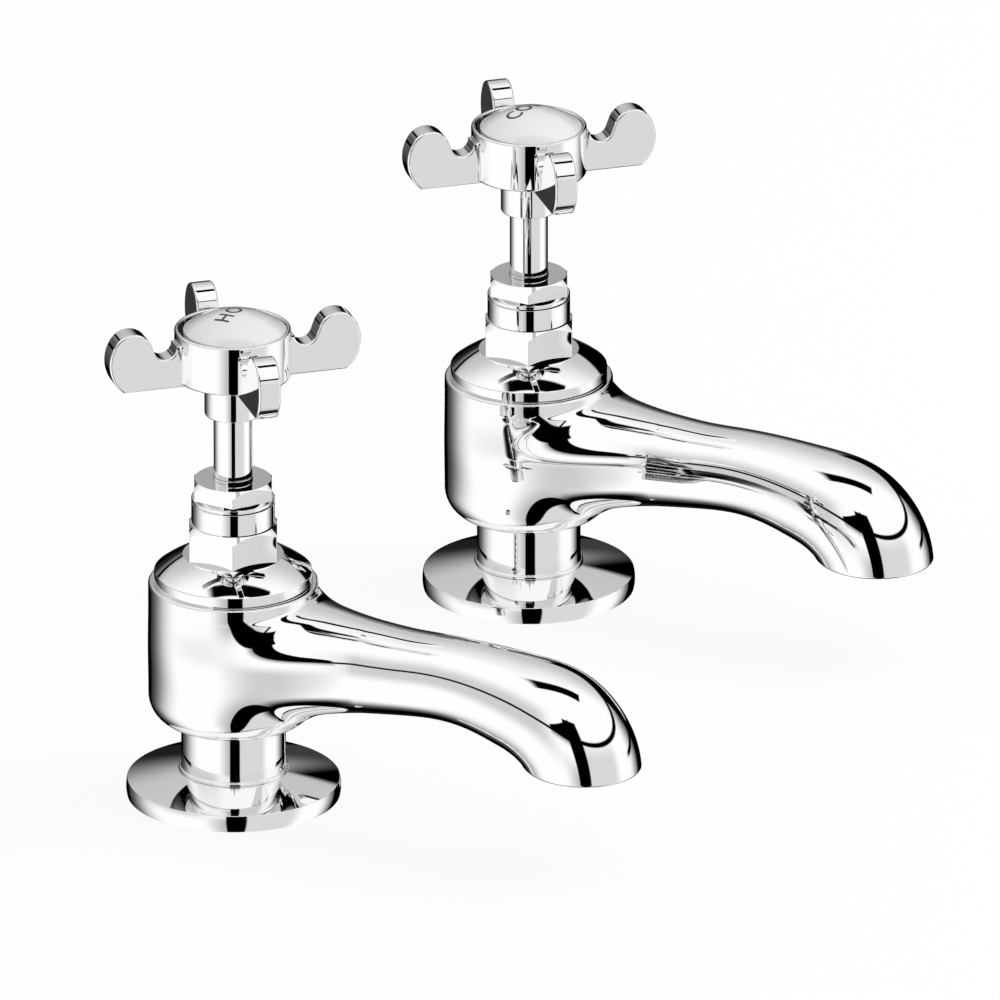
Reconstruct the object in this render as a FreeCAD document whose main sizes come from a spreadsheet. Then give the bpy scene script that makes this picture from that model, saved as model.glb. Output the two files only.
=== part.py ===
import FreeCAD, Part
import math
import os
import Sketcher

# A pair of traditional bath taps with crosshead handles, built in millimetres.
# The deck is the plane z = 0, the spouts point along -Y and the pair stands along X.
# The origin is on the deck, midway between the two tap axes.

os.makedirs("parts", exist_ok=True)
document = FreeCAD.newDocument("bath_taps")
V = FreeCAD.Vector

# Driving dimensions. Radii end in _r, heights above the deck end in _z.
DRIVING = [
    ("pair_spacing", 162.0, "distance between the two tap axes"),
    ("tail_r", 13.22, "outside of the three quarter inch pipe thread"),
    ("tail_bottom_z", -50.0, "end of the threaded tail"),
    ("inlet_r", 8.6, "bore of the tail"),
    ("neck_r", 13.5, "neck between flange and barrel"),
    ("bead_r", 14.2, "bead at the foot of the neck"),
    ("bead_h", 0.9, "height of the bead"),
    ("flange_r", 28.0, "flange at its rim"),
    ("flange_rim_h", 4.2, "height of the rounded rim"),
    ("flange_top_z", 7.0, "top of the flange at the neck"),
    ("barrel_r", 21.9, "barrel"),
    ("barrel_under_z", 17.0, "flat underside of the barrel"),
    ("barrel_round", 8.0, "rounding at the foot of the barrel"),
    ("barrel_top_z", 57.6, "top of the barrel"),
    ("lip", 0.6, "small rounding of edges"),
    ("chamber_r", 16.3, "water chamber in the barrel"),
    ("chamber_floor_z", 29.0, "floor of the chamber"),
    ("chamber_top_z", 50.0, "ceiling of the chamber"),
    ("seat_r", 6.3, "opening of the valve seat"),
    ("seat_ring_r", 8.6, "raised ring of the valve seat"),
    ("seat_z", 31.1, "face of the valve seat"),
    ("orifice_z", 24.0, "start of the narrow way under the seat"),
    ("cover_r", 20.6, "cover plate"),
    ("cover_wall", 2.0, "wall of the cover plate"),
    ("cover_edge_h", 3.2, "straight edge of the cover plate"),
    ("cover_top_z", 65.3, "top of the cover plate at the bonnet"),
    ("bonnet_bottom_z", 46.0, "lower end of the bonnet thread"),
    ("bonnet_stub_r", 9.5, "thread of the bonnet"),
    ("bonnet_shoulder_r", 11.0, "shoulder of the bonnet"),
    ("bonnet_hex_r", 13.0, "corners of the bonnet hexagon"),
    ("bonnet_hex_h", 8.7, "height of the bonnet hexagon"),
    ("bonnet_r", 10.75, "round part above the hexagon"),
    ("bonnet_top_z", 81.2, "top of the bonnet"),
    ("seal_h", 1.5, "thickness of the bonnet washer"),
    ("gland_r", 11.5, "corners of the gland nut"),
    ("gland_h", 3.2, "height of the gland hexagon"),
    ("gland_neck_r", 9.4, "neck under the gland hexagon"),
    ("gland_neck_h", 0.8, "height of that neck"),
    ("gland_plug_r", 7.4, "thread of the gland nut"),
    ("spindle_r", 5.1, "round spindle in the gland"),
    ("screw_r", 3.9, "lifting thread of the spindle"),
    ("screw_bottom_z", 48.0, "lower end of the lifting thread"),
    ("thrust_r", 6.6, "thrust collar of the spindle"),
    ("thrust_h", 3.0, "height of the thrust collar"),
    ("thrust_z", 70.6, "underside of the thrust collar"),
    ("collar_top_z", 86.0, "seam between spindle and sleeve"),
    ("sleeve_r", 4.97, "sleeve on the stem"),
    ("core_r", 4.2, "spindle inside the sleeve"),
    ("ring_wire", 0.8, "half thickness of the rubber rings"),
    ("ring_z", 78.0, "rubber ring on the spindle"),
    ("drive_side", 6.2, "square drive of the spindle"),
    ("drive_h", 14.0, "length of the square drive"),
    ("boss_r", 7.3, "boss under the hub"),
    ("boss_z", 103.8, "underside of the boss"),
    ("hub_r", 15.2, "hub of the handle"),
    ("hub_z", 113.6, "underside of the hub"),
    ("hub_top_z", 127.2, "rim of the hub"),
    ("hub_rim", 1.2, "wall of the rim around the index"),
    ("hub_recess", 3.5, "depth of the index recess"),
    ("hub_round", 0.9, "rounding of the hub"),
    ("arm_half", 2.95, "half the thickness of an arm"),
    ("arm_z", 114.2, "underside of the arms"),
    ("arm_foot_r", 29.4, "end of the straight underside"),
    ("lobe_x", 27.9, "centre of the round lobe, from the axis"),
    ("lobe_rise", 10.4, "centre of the lobe above the underside"),
    ("lobe_r", 5.2, "radius of the lobe"),
    ("valley_x", 19.0, "centre of the valley, from the axis"),
    ("valley_rise", 11.7, "centre of the valley above the underside"),
    ("valley_r", 3.5, "radius of the valley"),
    ("arm_edge", 0.6, "rounding of the arm edges"),
    ("dome_r", 13.3, "ceramic index at its foot"),
    ("dome_rise", 5.6, "height of the dome"),
    ("dome_foot_z", 126.8, "foot of the dome"),
    ("head_r", 3.6, "head of the handle screw"),
    ("head_h", 2.8, "height of that head"),
    ("shank_r", 2.05, "shank of the handle screw"),
    ("shank_l", 12.9, "length of that shank"),
    ("plate_r", 8.5, "jumper plate"),
    ("plate_h", 3.5, "thickness of the jumper plate"),
    ("jumper_flat", 6.0, "half the width across the jumper flats"),
    ("jumper_top_z", 60.0, "top of the jumper when shut"),
    ("washer_r", 8.0, "tap washer"),
    ("washer_h", 3.3, "thickness of the tap washer"),
    ("stud_r", 1.5, "stud through the tap washer"),
    ("nut_r", 3.6, "corners of the washer nut"),
    ("nut_h", 2.1, "height of the washer nut"),
    ("gasket_inner_r", 17.0, "inside of the deck gasket"),
    ("gasket_margin", 3.0, "flange rim outside the deck gasket"),
    ("gasket_h", 1.8, "thickness of the deck gasket"),
    ("run_gap", 0.1, "running clearance on the radius"),
    ("fit_gap", 0.05, "clearance of threads and press fits on the radius"),
    ("free_gap", 0.3, "clearance between parts that move apart"),
    ("spout_r", 15.44, "spout inside the barrel"),
    ("spout_axis_z", 40.95, "axis of the spout at the barrel"),
    ("spout_reach", 102.492, "outlet in front of the tap axis"),
    ("outlet_z", 26.5, "flat outlet of the spout"),
    ("spout_blend", 4.0, "rounding between barrel and spout"),
    ("way_r", 7.4, "waterway in the spout"),
    ("way_z", 41.0, "height of the waterway"),
    ("way_bend", 22.0, "bend of the waterway above the outlet"),
    ("mouth_r", 10.8, "wider mouth of the waterway"),
    ("mouth_h", 5.0, "depth of that mouth"),
]

# Dimensions that follow from the driving ones.
DERIVED = [
    ("outlet_trim_r", "spout_r * 1.3"),
    ("way_start", "chamber_r * 0.4"),
    ("way_knee", "spout_reach - way_bend"),
    ("way_end_z", "way_z - way_bend"),
    ("hot_x", "-pair_spacing / 2"),
    ("cold_x", "pair_spacing / 2"),
    ("bead_top_z", "flange_top_z + bead_h"),
    ("barrel_turn_r", "barrel_r - barrel_round"),
    ("barrel_turn_z", "barrel_under_z + barrel_round"),
    ("barrel_lip_r", "barrel_r - lip"),
    ("barrel_lip_z", "barrel_top_z - lip"),
    ("barrel_thread_r", "bonnet_stub_r + fit_gap"),
    ("rim_half", "flange_rim_h / 2"),
    ("rim_centre_r", "flange_r - rim_half"),
    ("flange_bore_r", "neck_r + fit_gap"),
    ("flange_arc", "flange_r * 2"),
    ("gasket_outer_r", "flange_r - gasket_margin"),
    ("gasket_seat_r", "gasket_outer_r + fit_gap"),
    ("cover_hole_r", "bonnet_shoulder_r + run_gap"),
    ("cover_edge_z", "barrel_top_z + cover_edge_h"),
    ("cover_lip_r", "cover_r - lip"),
    ("cover_lip_z", "cover_edge_z + lip"),
    ("cover_inner_r", "cover_r - cover_wall"),
    ("cover_inner_z", "cover_edge_z - lip"),
    ("cover_roof_z", "cover_top_z - cover_wall"),
    ("cover_arc", "cover_r * 1.6"),
    ("seal_top_z", "barrel_top_z + seal_h"),
    ("bonnet_hex_top_z", "cover_top_z + bonnet_hex_h"),
    ("bonnet_flat_r", "bonnet_hex_r * 0.866"),
    ("bonnet_bevel_z", "bonnet_hex_top_z - (bonnet_hex_r - bonnet_flat_r)"),
    ("groove_r", "bonnet_r - lip"),
    ("groove_z", "bonnet_top_z - lip * 2.2"),
    ("groove_top_z", "bonnet_top_z - lip * 1.4"),
    ("guide_top_z", "thrust_z - thrust_h * 1.4"),
    ("guide_flat", "jumper_flat + free_gap"),
    ("guide_corner_r", "guide_flat / 0.866"),
    ("guide_l", "guide_top_z - bonnet_bottom_z"),
    ("screw_hole_r", "screw_r + free_gap"),
    ("shoulder_z", "thrust_z - free_gap"),
    ("thrust_hole_r", "thrust_r + free_gap"),
    ("thrust_top_z", "thrust_z + thrust_h"),
    ("plug_z", "thrust_top_z + free_gap"),
    ("plug_hole_r", "gland_plug_r + fit_gap"),
    ("gland_z", "bonnet_top_z + gland_neck_h"),
    ("gland_top_z", "gland_z + gland_h"),
    ("gland_flat_r", "gland_r * 0.866"),
    ("gland_bevel_z", "gland_top_z - (gland_r - gland_flat_r)"),
    ("gland_hole_r", "spindle_r + run_gap"),
    ("ring_centre_r", "spindle_r + fit_gap - ring_wire"),
    ("ring_groove_r", "ring_centre_r - ring_wire - fit_gap"),
    ("ring_groove_low_z", "ring_z - ring_wire * 1.1"),
    ("ring_groove_high_z", "ring_z + ring_wire * 1.1"),
    ("sleeve_hole_r", "core_r + fit_gap"),
    ("drive_half", "drive_side / 2"),
    ("drive_top_z", "boss_z + drive_h"),
    ("drive_socket_half", "drive_half + fit_gap"),
    ("drive_roof_z", "drive_top_z + free_gap"),
    ("drive_corner_r", "drive_half * 1.4142"),
    ("socket_corner_r", "drive_socket_half * 1.4142"),
    ("socket_l", "drive_roof_z - boss_z"),
    ("boss_lip_r", "boss_r - lip"),
    ("boss_lip_z", "boss_z + lip"),
    ("hub_low_r", "hub_r - hub_round"),
    ("hub_low_z", "hub_z + hub_round"),
    ("hub_high_r", "hub_r - hub_rim / 2"),
    ("hub_high_z", "hub_top_z - hub_rim / 2"),
    ("hub_inner_r", "hub_r - hub_rim"),
    ("hub_floor_z", "hub_top_z - hub_recess"),
    ("head_seat_z", "hub_floor_z - head_h - free_gap"),
    ("head_hole_r", "head_r + run_gap"),
    ("head_top_z", "head_seat_z + head_h"),
    ("shank_hole_r", "shank_r + run_gap"),
    ("shank_z", "head_seat_z - shank_l"),
    ("shank_hole_z", "shank_z - free_gap"),
    ("arm_root_r", "hub_inner_r - hub_rim"),
    ("arm_thickness", "arm_half * 2"),
    ("lobe_z", "arm_z + lobe_rise"),
    ("valley_z", "arm_z + valley_rise"),
    ("dome_under_z", "dome_foot_z - lip * 2"),
    ("dome_plug_r", "hub_inner_r - ring_wire * 2 - run_gap * 2"),
    ("dome_arc", "(dome_r * dome_r + dome_rise * dome_rise) / (dome_rise * 2)"),
    ("dome_top_z", "dome_foot_z + dome_rise"),
    ("dome_plug_z", "hub_floor_z + fit_gap"),
    ("index_ring_r", "hub_inner_r - ring_wire - fit_gap"),
    ("index_ring_z", "hub_floor_z + ring_wire + fit_gap"),
    ("jumper_floor_z", "seat_z + run_gap"),
    ("plate_z", "jumper_floor_z + washer_h"),
    ("plate_top_z", "plate_z + plate_h"),
    ("jumper_neck_r", "jumper_flat * 0.9"),
    ("jumper_hex_r", "jumper_flat / 0.866"),
    ("jumper_hex_z", "plate_top_z + plate_h"),
    ("jumper_hex_l", "jumper_top_z - jumper_hex_z"),
    ("jumper_hole_z", "jumper_hex_z + lip * 2"),
    ("nut_z", "jumper_floor_z - nut_h"),
    ("washer_nut_top_z", "nut_z + nut_h"),
    ("nut_hole_r", "stud_r + fit_gap"),
]

# Sections of the spout: reach from the axis, height, tilt in degrees and radius.
# They are shares of spout_reach, spout_axis_z and spout_r.
SPOUT_SHARES = [
    (0.0641, 1.0001, 0.0, 1.0000),
    (0.1923, 1.0001, 0.0, 1.0524),
    (0.2286, 1.0011, 0.0, 1.0496),
    (0.2628, 1.0054, 0.0, 0.9858),
    (0.3120, 1.0108, 0.0, 0.8794),
    (0.3910, 1.0145, 0.0, 0.7830),
    (0.5064, 1.0177, 1.0, 0.7248),
    (0.6047, 1.0161, 3.0, 0.7120),
    (0.7073, 1.0011, 10.0, 0.7390),
    (0.8000, 0.9498, 22.0, 0.8227),
    (0.9081, 0.8904, 40.0, 0.9220),
    (0.9915, 0.6738, 74.0, 0.9532),
    (1.0000, 0.4396, 90.0, 0.9333),
]


def make_sheet():
    """One spreadsheet row per dimension: name, value or formula, remark."""
    sheet = document.addObject("Spreadsheet::Sheet", "Sizes")
    rows = [(alias, str(value), remark) for alias, value, remark in DRIVING]
    rows += [(alias, "=" + formula, "derived") for alias, formula in DERIVED]
    for index, shares in enumerate(SPOUT_SHARES):
        reach, height, tilt, radius = shares
        rows.append(("spout_reach_%02d" % index, "=spout_reach * %s" % reach, "spout"))
        rows.append(("spout_height_%02d" % index, "=spout_axis_z * %s" % height, "spout"))
        rows.append(("spout_radius_%02d" % index, "=spout_r * %s" % radius, "spout"))
        rows.append(("spout_tilt_%02d" % index, str(tilt), "spout, degrees"))
    for row, (alias, content, remark) in enumerate(rows, 1):
        sheet.set("A%d" % row, alias)
        sheet.set("B%d" % row, content)
        sheet.setAlias("B%d" % row, alias)
        sheet.set("C%d" % row, remark)
    document.recompute()
    return sheet


sizes = make_sheet()


def size(alias):
    """The present value of one dimension."""
    return float(sizes.get(alias))


def bind(target, prop, alias):
    """Lets a dimension of the sheet drive a property."""
    target.setExpression(prop, "Sizes." + alias)


def new_body(label):
    """An empty body whose label is its file name."""
    body = document.addObject("PartDesign::Body", label)
    body.Label = label
    return body


def plane_of(body, role):
    """One of the three origin planes of a body."""
    return [item for item in body.Origin.OriginFeatures if item.Role == role][0]


def new_sketch(body, name, role="XZ_Plane"):
    """A sketch that lies on an origin plane."""
    sketch = body.newObject("Sketcher::SketchObject", name)
    sketch.AttachmentSupport = (plane_of(body, role), [""])
    sketch.MapMode = "FlatFace"
    return sketch


def hold(sketch, kind, arguments, alias):
    """A driving constraint that takes its value from the sheet."""
    number = sketch.addConstraint(Sketcher.Constraint(kind, *arguments, size(alias)))
    sketch.setExpression("Constraints[%d]" % number, "Sizes." + alias)


def pin_point(sketch, edge, across, upward):
    """Fixes the start of an edge at two dimensions, or on an axis."""
    if across == "axis":
        sketch.addConstraint(Sketcher.Constraint("PointOnObject", edge, 1, -2))
    else:
        hold(sketch, "DistanceX", (-1, 1, edge, 1), across)
    if upward == "deck":
        sketch.addConstraint(Sketcher.Constraint("PointOnObject", edge, 1, -1))
    else:
        hold(sketch, "DistanceY", (-1, 1, edge, 1), upward)


def spot(corner):
    """Coordinates of a corner that is named by dimensions."""
    across = 0.0 if corner[0] == "axis" else size(corner[0])
    upward = 0.0 if corner[1] == "deck" else size(corner[1])
    return V(across, upward, 0)


def arc_centre(start, end, radius):
    """Centre of the left turning arc from start to end that is shorter than a half circle."""
    middle = (start + end) * 0.5
    half = (end - start).Length / 2
    normal = V(start.y - end.y, end.x - start.x, 0).normalize()
    return middle + normal * math.sqrt(max(radius * radius - half * half, 0.0))


def outline(body, name, corners):
    """A closed half section; a third entry makes the edge to the next corner a left turning arc."""
    sketch = new_sketch(body, name)
    count = len(corners)
    edges = []
    for index, corner in enumerate(corners):
        start = spot(corner)
        end = spot(corners[(index + 1) % count])
        if len(corner) > 2:
            radius = size(corner[2])
            centre = arc_centre(start, end, radius)
            first = math.atan2(start.y - centre.y, start.x - centre.x)
            second = math.atan2(end.y - centre.y, end.x - centre.x)
            circle = Part.Circle(centre, V(0, 0, 1), radius)
            edges.append(sketch.addGeometry(Part.ArcOfCircle(circle, first, second), False))
        else:
            edges.append(sketch.addGeometry(Part.LineSegment(start, end), False))
    for index in range(count):
        following = edges[(index + 1) % count]
        sketch.addConstraint(Sketcher.Constraint("Coincident", edges[index], 2, following, 1))
    for index, corner in enumerate(corners):
        pin_point(sketch, edges[index], corner[0], corner[1])
        if len(corner) > 2:
            hold(sketch, "Radius", (edges[index],), corner[2])
    return sketch


def turned(body, name, corners, kind="Revolution"):
    """A half section turned round the tap axis, as added or removed material."""
    sketch = outline(body, name + "_outline", corners)
    feature = body.newObject("PartDesign::" + kind, name)
    feature.Profile = sketch
    feature.ReferenceAxis = (sketch, ["V_Axis"])
    feature.Angle = 360
    document.recompute()
    body.Tip = feature
    return feature


def polygon(body, name, sides, corner_alias, height_alias, turn):
    """A regular polygon at a height, inside a circle that a dimension drives."""
    sketch = new_sketch(body, name, "XY_Plane")
    sketch.setExpression(".AttachmentOffset.Base.z", "Sizes." + height_alias)
    radius = size(corner_alias)
    angles = [math.radians(turn + 360.0 * index / sides) for index in range(sides + 1)]
    spots = [V(radius * math.cos(angle), radius * math.sin(angle), 0) for angle in angles]
    edges = [sketch.addGeometry(Part.LineSegment(spots[index], spots[index + 1]), False)
             for index in range(sides)]
    ring = sketch.addGeometry(Part.Circle(V(0, 0, 0), V(0, 0, 1), radius), True)
    sketch.addConstraint(Sketcher.Constraint("Coincident", ring, 3, -1, 1))
    hold(sketch, "Radius", (ring,), corner_alias)
    for index in range(sides):
        following = edges[(index + 1) % sides]
        sketch.addConstraint(Sketcher.Constraint("Coincident", edges[index], 2, following, 1))
        sketch.addConstraint(Sketcher.Constraint("PointOnObject", edges[index], 1, ring))
        if index:
            sketch.addConstraint(Sketcher.Constraint("Equal", edges[0], edges[index]))
    reference = sketch.addGeometry(Part.LineSegment(V(0, 0, 0), spots[0]), True)
    sketch.addConstraint(Sketcher.Constraint("Coincident", reference, 1, -1, 1))
    sketch.addConstraint(Sketcher.Constraint("Coincident", reference, 2, edges[0], 1))
    sketch.addConstraint(Sketcher.Constraint("Angle", reference, math.radians(turn)))
    return sketch


def prism(body, name, sketch, length_alias, kind="Pad", reverse=False):
    """A sketch pushed out or in by a dimension."""
    feature = body.newObject("PartDesign::" + kind, name)
    feature.Profile = sketch
    bind(feature, "Length", length_alias)
    feature.Reversed = reverse
    document.recompute()
    body.Tip = feature
    return feature


def place(obj, side):
    """Moves a piece to the axis of its own tap."""
    obj.setExpression(".Placement.Base.x", "Sizes." + side + "_x")


def ring_object(label, radius_alias, height_alias):
    """A rubber ring of round wire."""
    torus = document.addObject("Part::Torus", label)
    torus.Label = label
    bind(torus, "Radius1", radius_alias)
    bind(torus, "Radius2", "ring_wire")
    torus.setExpression(".Placement.Base.z", "Sizes." + height_alias)
    return torus


def spout_loft(body, name):
    """Round sections in planes across the spout, joined by one smooth surface."""
    sections = []
    for index in range(len(SPOUT_SHARES)):
        sketch = new_sketch(body, "%s_section_%02d" % (name, index))
        sketch.setExpression(".AttachmentOffset.Base.y", "Sizes.spout_height_%02d" % index)
        sketch.setExpression(".AttachmentOffset.Base.z", "Sizes.spout_reach_%02d" % index)
        tilt = SPOUT_SHARES[index][2]
        offset = sketch.AttachmentOffset
        offset.Rotation = FreeCAD.Rotation(V(1, 0, 0), tilt)
        sketch.AttachmentOffset = offset
        alias = "spout_radius_%02d" % index
        circle = sketch.addGeometry(Part.Circle(V(0, 0, 0), V(0, 0, 1), size(alias)), False)
        sketch.addConstraint(Sketcher.Constraint("Coincident", circle, 3, -1, 1))
        hold(sketch, "Radius", (circle,), alias)
        sections.append(sketch)
    document.recompute()
    loft = body.newObject("PartDesign::AdditiveLoft", name)
    loft.Profile = sections[0]
    loft.Sections = sections[1:]
    loft.Ruled = False
    document.recompute()
    body.Tip = loft
    return loft


def seam_edges(shape):
    """Names of the edges where the spout runs into the barrel."""
    names = []
    for index, edge in enumerate(shape.Edges, 1):
        box = edge.BoundBox
        short = box.YLength < size("flange_r")
        sloping = box.ZLength > size("lip") and box.XLength > size("lip")
        if short and sloping and box.YMax < -size("neck_r") / 2 and box.YMin > -size("flange_r"):
            names.append("Edge%d" % index)
    return names


def waterway(body, side):
    """A round way from the chamber through the spout, bent down to the outlet."""
    path = new_sketch(body, side + "_way_path", "YZ_Plane")
    start = V(-size("way_start"), size("way_z"), 0)
    knee = V(-size("way_knee"), size("way_z"), 0)
    centre = V(-size("way_knee"), size("way_end_z"), 0)
    straight = path.addGeometry(Part.LineSegment(start, knee), False)
    circle = Part.Circle(centre, V(0, 0, 1), size("way_bend"))
    bend = path.addGeometry(Part.ArcOfCircle(circle, math.pi / 2, math.pi), False)
    path.addConstraint(Sketcher.Constraint("Tangent", straight, 2, bend, 1))
    path.addConstraint(Sketcher.Constraint("Horizontal", straight))
    hold(path, "DistanceX", (straight, 1, -1, 1), "way_start")
    hold(path, "DistanceY", (-1, 1, straight, 1), "way_z")
    hold(path, "DistanceX", (straight, 2, -1, 1), "way_knee")
    hold(path, "Radius", (bend,), "way_bend")
    hold(path, "DistanceY", (-1, 1, bend, 2), "way_end_z")
    profile = new_sketch(body, side + "_way_circle")
    profile.setExpression(".AttachmentOffset.Base.z", "Sizes.way_start")
    profile.setExpression(".AttachmentOffset.Base.y", "Sizes.way_z")
    circle = profile.addGeometry(Part.Circle(V(0, 0, 0), V(0, 0, 1), size("way_r")), False)
    profile.addConstraint(Sketcher.Constraint("Coincident", circle, 3, -1, 1))
    hold(profile, "Radius", (circle,), "way_r")
    document.recompute()
    pipe = body.newObject("PartDesign::SubtractivePipe", side + "_waterway")
    pipe.Profile = profile
    pipe.Spine = (path, ["Edge1", "Edge2"])
    document.recompute()
    body.Tip = pipe


def outlet_circle(body, name, radius_alias):
    """A circle round the outlet, in the plane of the outlet."""
    sketch = new_sketch(body, name, "XY_Plane")
    sketch.setExpression(".AttachmentOffset.Base.z", "Sizes.outlet_z")
    centre = V(0, -size("spout_reach"), 0)
    circle = sketch.addGeometry(Part.Circle(centre, V(0, 0, 1), size(radius_alias)), False)
    sketch.addConstraint(Sketcher.Constraint("PointOnObject", circle, 3, -2))
    hold(sketch, "DistanceY", (circle, 3, -1, 1), "spout_reach")
    hold(sketch, "Radius", (circle,), radius_alias)
    return sketch


def make_casting(side):
    """Threaded tail, neck, barrel and spout in one casting with its waterways."""
    body = new_body(side + "_body")
    turned(body, side + "_barrel", [
        ("axis", "tail_bottom_z"), ("tail_r", "tail_bottom_z"), ("tail_r", "deck"),
        ("neck_r", "deck"), ("neck_r", "flange_top_z"), ("bead_r", "flange_top_z"),
        ("bead_r", "bead_top_z"), ("neck_r", "bead_top_z"), ("neck_r", "barrel_under_z"),
        ("barrel_turn_r", "barrel_under_z", "barrel_round"), ("barrel_r", "barrel_turn_z"),
        ("barrel_r", "barrel_lip_z", "lip"), ("barrel_lip_r", "barrel_top_z"),
        ("axis", "barrel_top_z")])
    loft = spout_loft(body, side + "_spout")
    blend = body.newObject("PartDesign::Fillet", side + "_spout_blend")
    blend.Base = (loft, seam_edges(loft.Shape))
    bind(blend, "Radius", "spout_blend")
    document.recompute()
    body.Tip = blend
    turned(body, side + "_chamber", [
        ("axis", "tail_bottom_z"), ("inlet_r", "tail_bottom_z"), ("inlet_r", "deck"),
        ("way_r", "deck"), ("way_r", "orifice_z"),
        ("seat_r", "orifice_z"), ("seat_r", "seat_z"), ("seat_ring_r", "seat_z"),
        ("seat_ring_r", "chamber_floor_z"), ("chamber_r", "chamber_floor_z"),
        ("chamber_r", "chamber_top_z"), ("barrel_thread_r", "chamber_top_z"),
        ("barrel_thread_r", "barrel_top_z"), ("axis", "barrel_top_z")], "Groove")
    waterway(body, side)
    trim = outlet_circle(body, side + "_trim_circle", "outlet_trim_r")
    prism(body, side + "_outlet_trim", trim, "outlet_z", "Pocket")
    mouth = outlet_circle(body, side + "_mouth_circle", "mouth_r")
    prism(body, side + "_mouth", mouth, "mouth_h", "Pocket", True)
    return body


def make_flange(side):
    """The round flange that covers the hole in the deck."""
    body = new_body(side + "_flange")
    turned(body, side + "_flange_turned", [
        ("flange_bore_r", "gasket_h"), ("gasket_seat_r", "gasket_h"), ("gasket_seat_r", "deck"),
        ("rim_centre_r", "deck", "rim_half"), ("flange_r", "rim_half", "rim_half"),
        ("rim_centre_r", "flange_rim_h", "flange_arc"), ("bead_r", "flange_top_z"),
        ("flange_bore_r", "flange_top_z")])
    return body


def make_ring(side, name, inner, outer, low, high):
    """A plain flat ring."""
    body = new_body(side + "_" + name)
    turned(body, side + "_" + name + "_turned",
           [(inner, low), (outer, low), (outer, high), (inner, high)])
    return body


def make_cover(side):
    """The domed plate on top of the barrel."""
    body = new_body(side + "_cover_plate")
    turned(body, side + "_cover_turned", [
        ("cover_inner_r", "barrel_top_z"), ("cover_r", "barrel_top_z"),
        ("cover_r", "cover_edge_z", "lip"), ("cover_lip_r", "cover_lip_z", "cover_arc"),
        ("bonnet_hex_r", "cover_top_z"), ("cover_hole_r", "cover_top_z"),
        ("cover_hole_r", "cover_roof_z"), ("bonnet_hex_r", "cover_roof_z"),
        ("cover_inner_r", "cover_inner_z")])
    return body


def make_bonnet(side):
    """The fixed part of the valve, with the larger hexagon."""
    body = new_body(side + "_bonnet")
    turned(body, side + "_bonnet_turned", [
        ("axis", "bonnet_bottom_z"), ("bonnet_stub_r", "bonnet_bottom_z"),
        ("bonnet_stub_r", "seal_top_z"), ("bonnet_shoulder_r", "seal_top_z"),
        ("bonnet_shoulder_r", "cover_top_z"), ("bonnet_r", "cover_top_z"),
        ("bonnet_r", "groove_z"), ("groove_r", "groove_z"), ("groove_r", "groove_top_z"),
        ("bonnet_r", "groove_top_z"), ("bonnet_r", "bonnet_top_z"), ("axis", "bonnet_top_z")])
    hexagon = polygon(body, side + "_bonnet_hex", 6, "bonnet_hex_r", "cover_top_z", 28.0)
    prism(body, side + "_bonnet_hex_pad", hexagon, "bonnet_hex_h")
    turned(body, side + "_bonnet_bevel", [
        ("bonnet_flat_r", "bonnet_hex_top_z"), ("bonnet_hex_r", "bonnet_bevel_z"),
        ("hub_r", "bonnet_bevel_z"), ("hub_r", "bonnet_hex_top_z")], "Groove")
    turned(body, side + "_bonnet_bore", [
        ("axis", "guide_top_z"), ("screw_hole_r", "guide_top_z"), ("screw_hole_r", "shoulder_z"),
        ("thrust_hole_r", "shoulder_z"), ("thrust_hole_r", "plug_z"), ("plug_hole_r", "plug_z"),
        ("plug_hole_r", "bonnet_top_z"), ("axis", "bonnet_top_z")], "Groove")
    guide = polygon(body, side + "_guide", 6, "guide_corner_r", "bonnet_bottom_z", 28.0)
    prism(body, side + "_guide_pocket", guide, "guide_l", "Pocket", True)
    return body


def make_gland(side):
    """The smaller nut that closes the bonnet round the spindle."""
    body = new_body(side + "_gland_nut")
    turned(body, side + "_gland_turned", [
        ("gland_hole_r", "plug_z"), ("gland_plug_r", "plug_z"), ("gland_plug_r", "bonnet_top_z"),
        ("gland_neck_r", "bonnet_top_z"), ("gland_neck_r", "gland_top_z"),
        ("gland_hole_r", "gland_top_z")])
    hexagon = polygon(body, side + "_gland_hex", 6, "gland_r", "gland_z", 28.0)
    prism(body, side + "_gland_hex_pad", hexagon, "gland_h")
    turned(body, side + "_gland_hole", [
        ("axis", "gland_z"), ("gland_hole_r", "gland_z"), ("gland_hole_r", "gland_top_z"),
        ("axis", "gland_top_z")], "Groove")
    turned(body, side + "_gland_bevel", [
        ("gland_flat_r", "gland_top_z"), ("gland_r", "gland_bevel_z"),
        ("hub_r", "gland_bevel_z"), ("hub_r", "gland_top_z")], "Groove")
    return body


def make_spindle(side):
    """Lifting thread, thrust collar, round stem and square drive."""
    body = new_body(side + "_spindle")
    turned(body, side + "_spindle_turned", [
        ("axis", "screw_bottom_z"), ("screw_r", "screw_bottom_z"), ("screw_r", "thrust_z"),
        ("thrust_r", "thrust_z"), ("thrust_r", "thrust_top_z"), ("spindle_r", "thrust_top_z"),
        ("spindle_r", "ring_groove_low_z"), ("ring_groove_r", "ring_groove_low_z"),
        ("ring_groove_r", "ring_groove_high_z"), ("spindle_r", "ring_groove_high_z"),
        ("spindle_r", "collar_top_z"), ("core_r", "collar_top_z"), ("core_r", "boss_z"),
        ("axis", "boss_z")])
    square = polygon(body, side + "_drive", 4, "drive_corner_r", "boss_z", 45.0)
    prism(body, side + "_drive_pad", square, "drive_h")
    turned(body, side + "_drive_hole", [
        ("axis", "shank_hole_z"), ("shank_hole_r", "shank_hole_z"),
        ("shank_hole_r", "drive_top_z"), ("axis", "drive_top_z")], "Groove")
    return body


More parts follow.
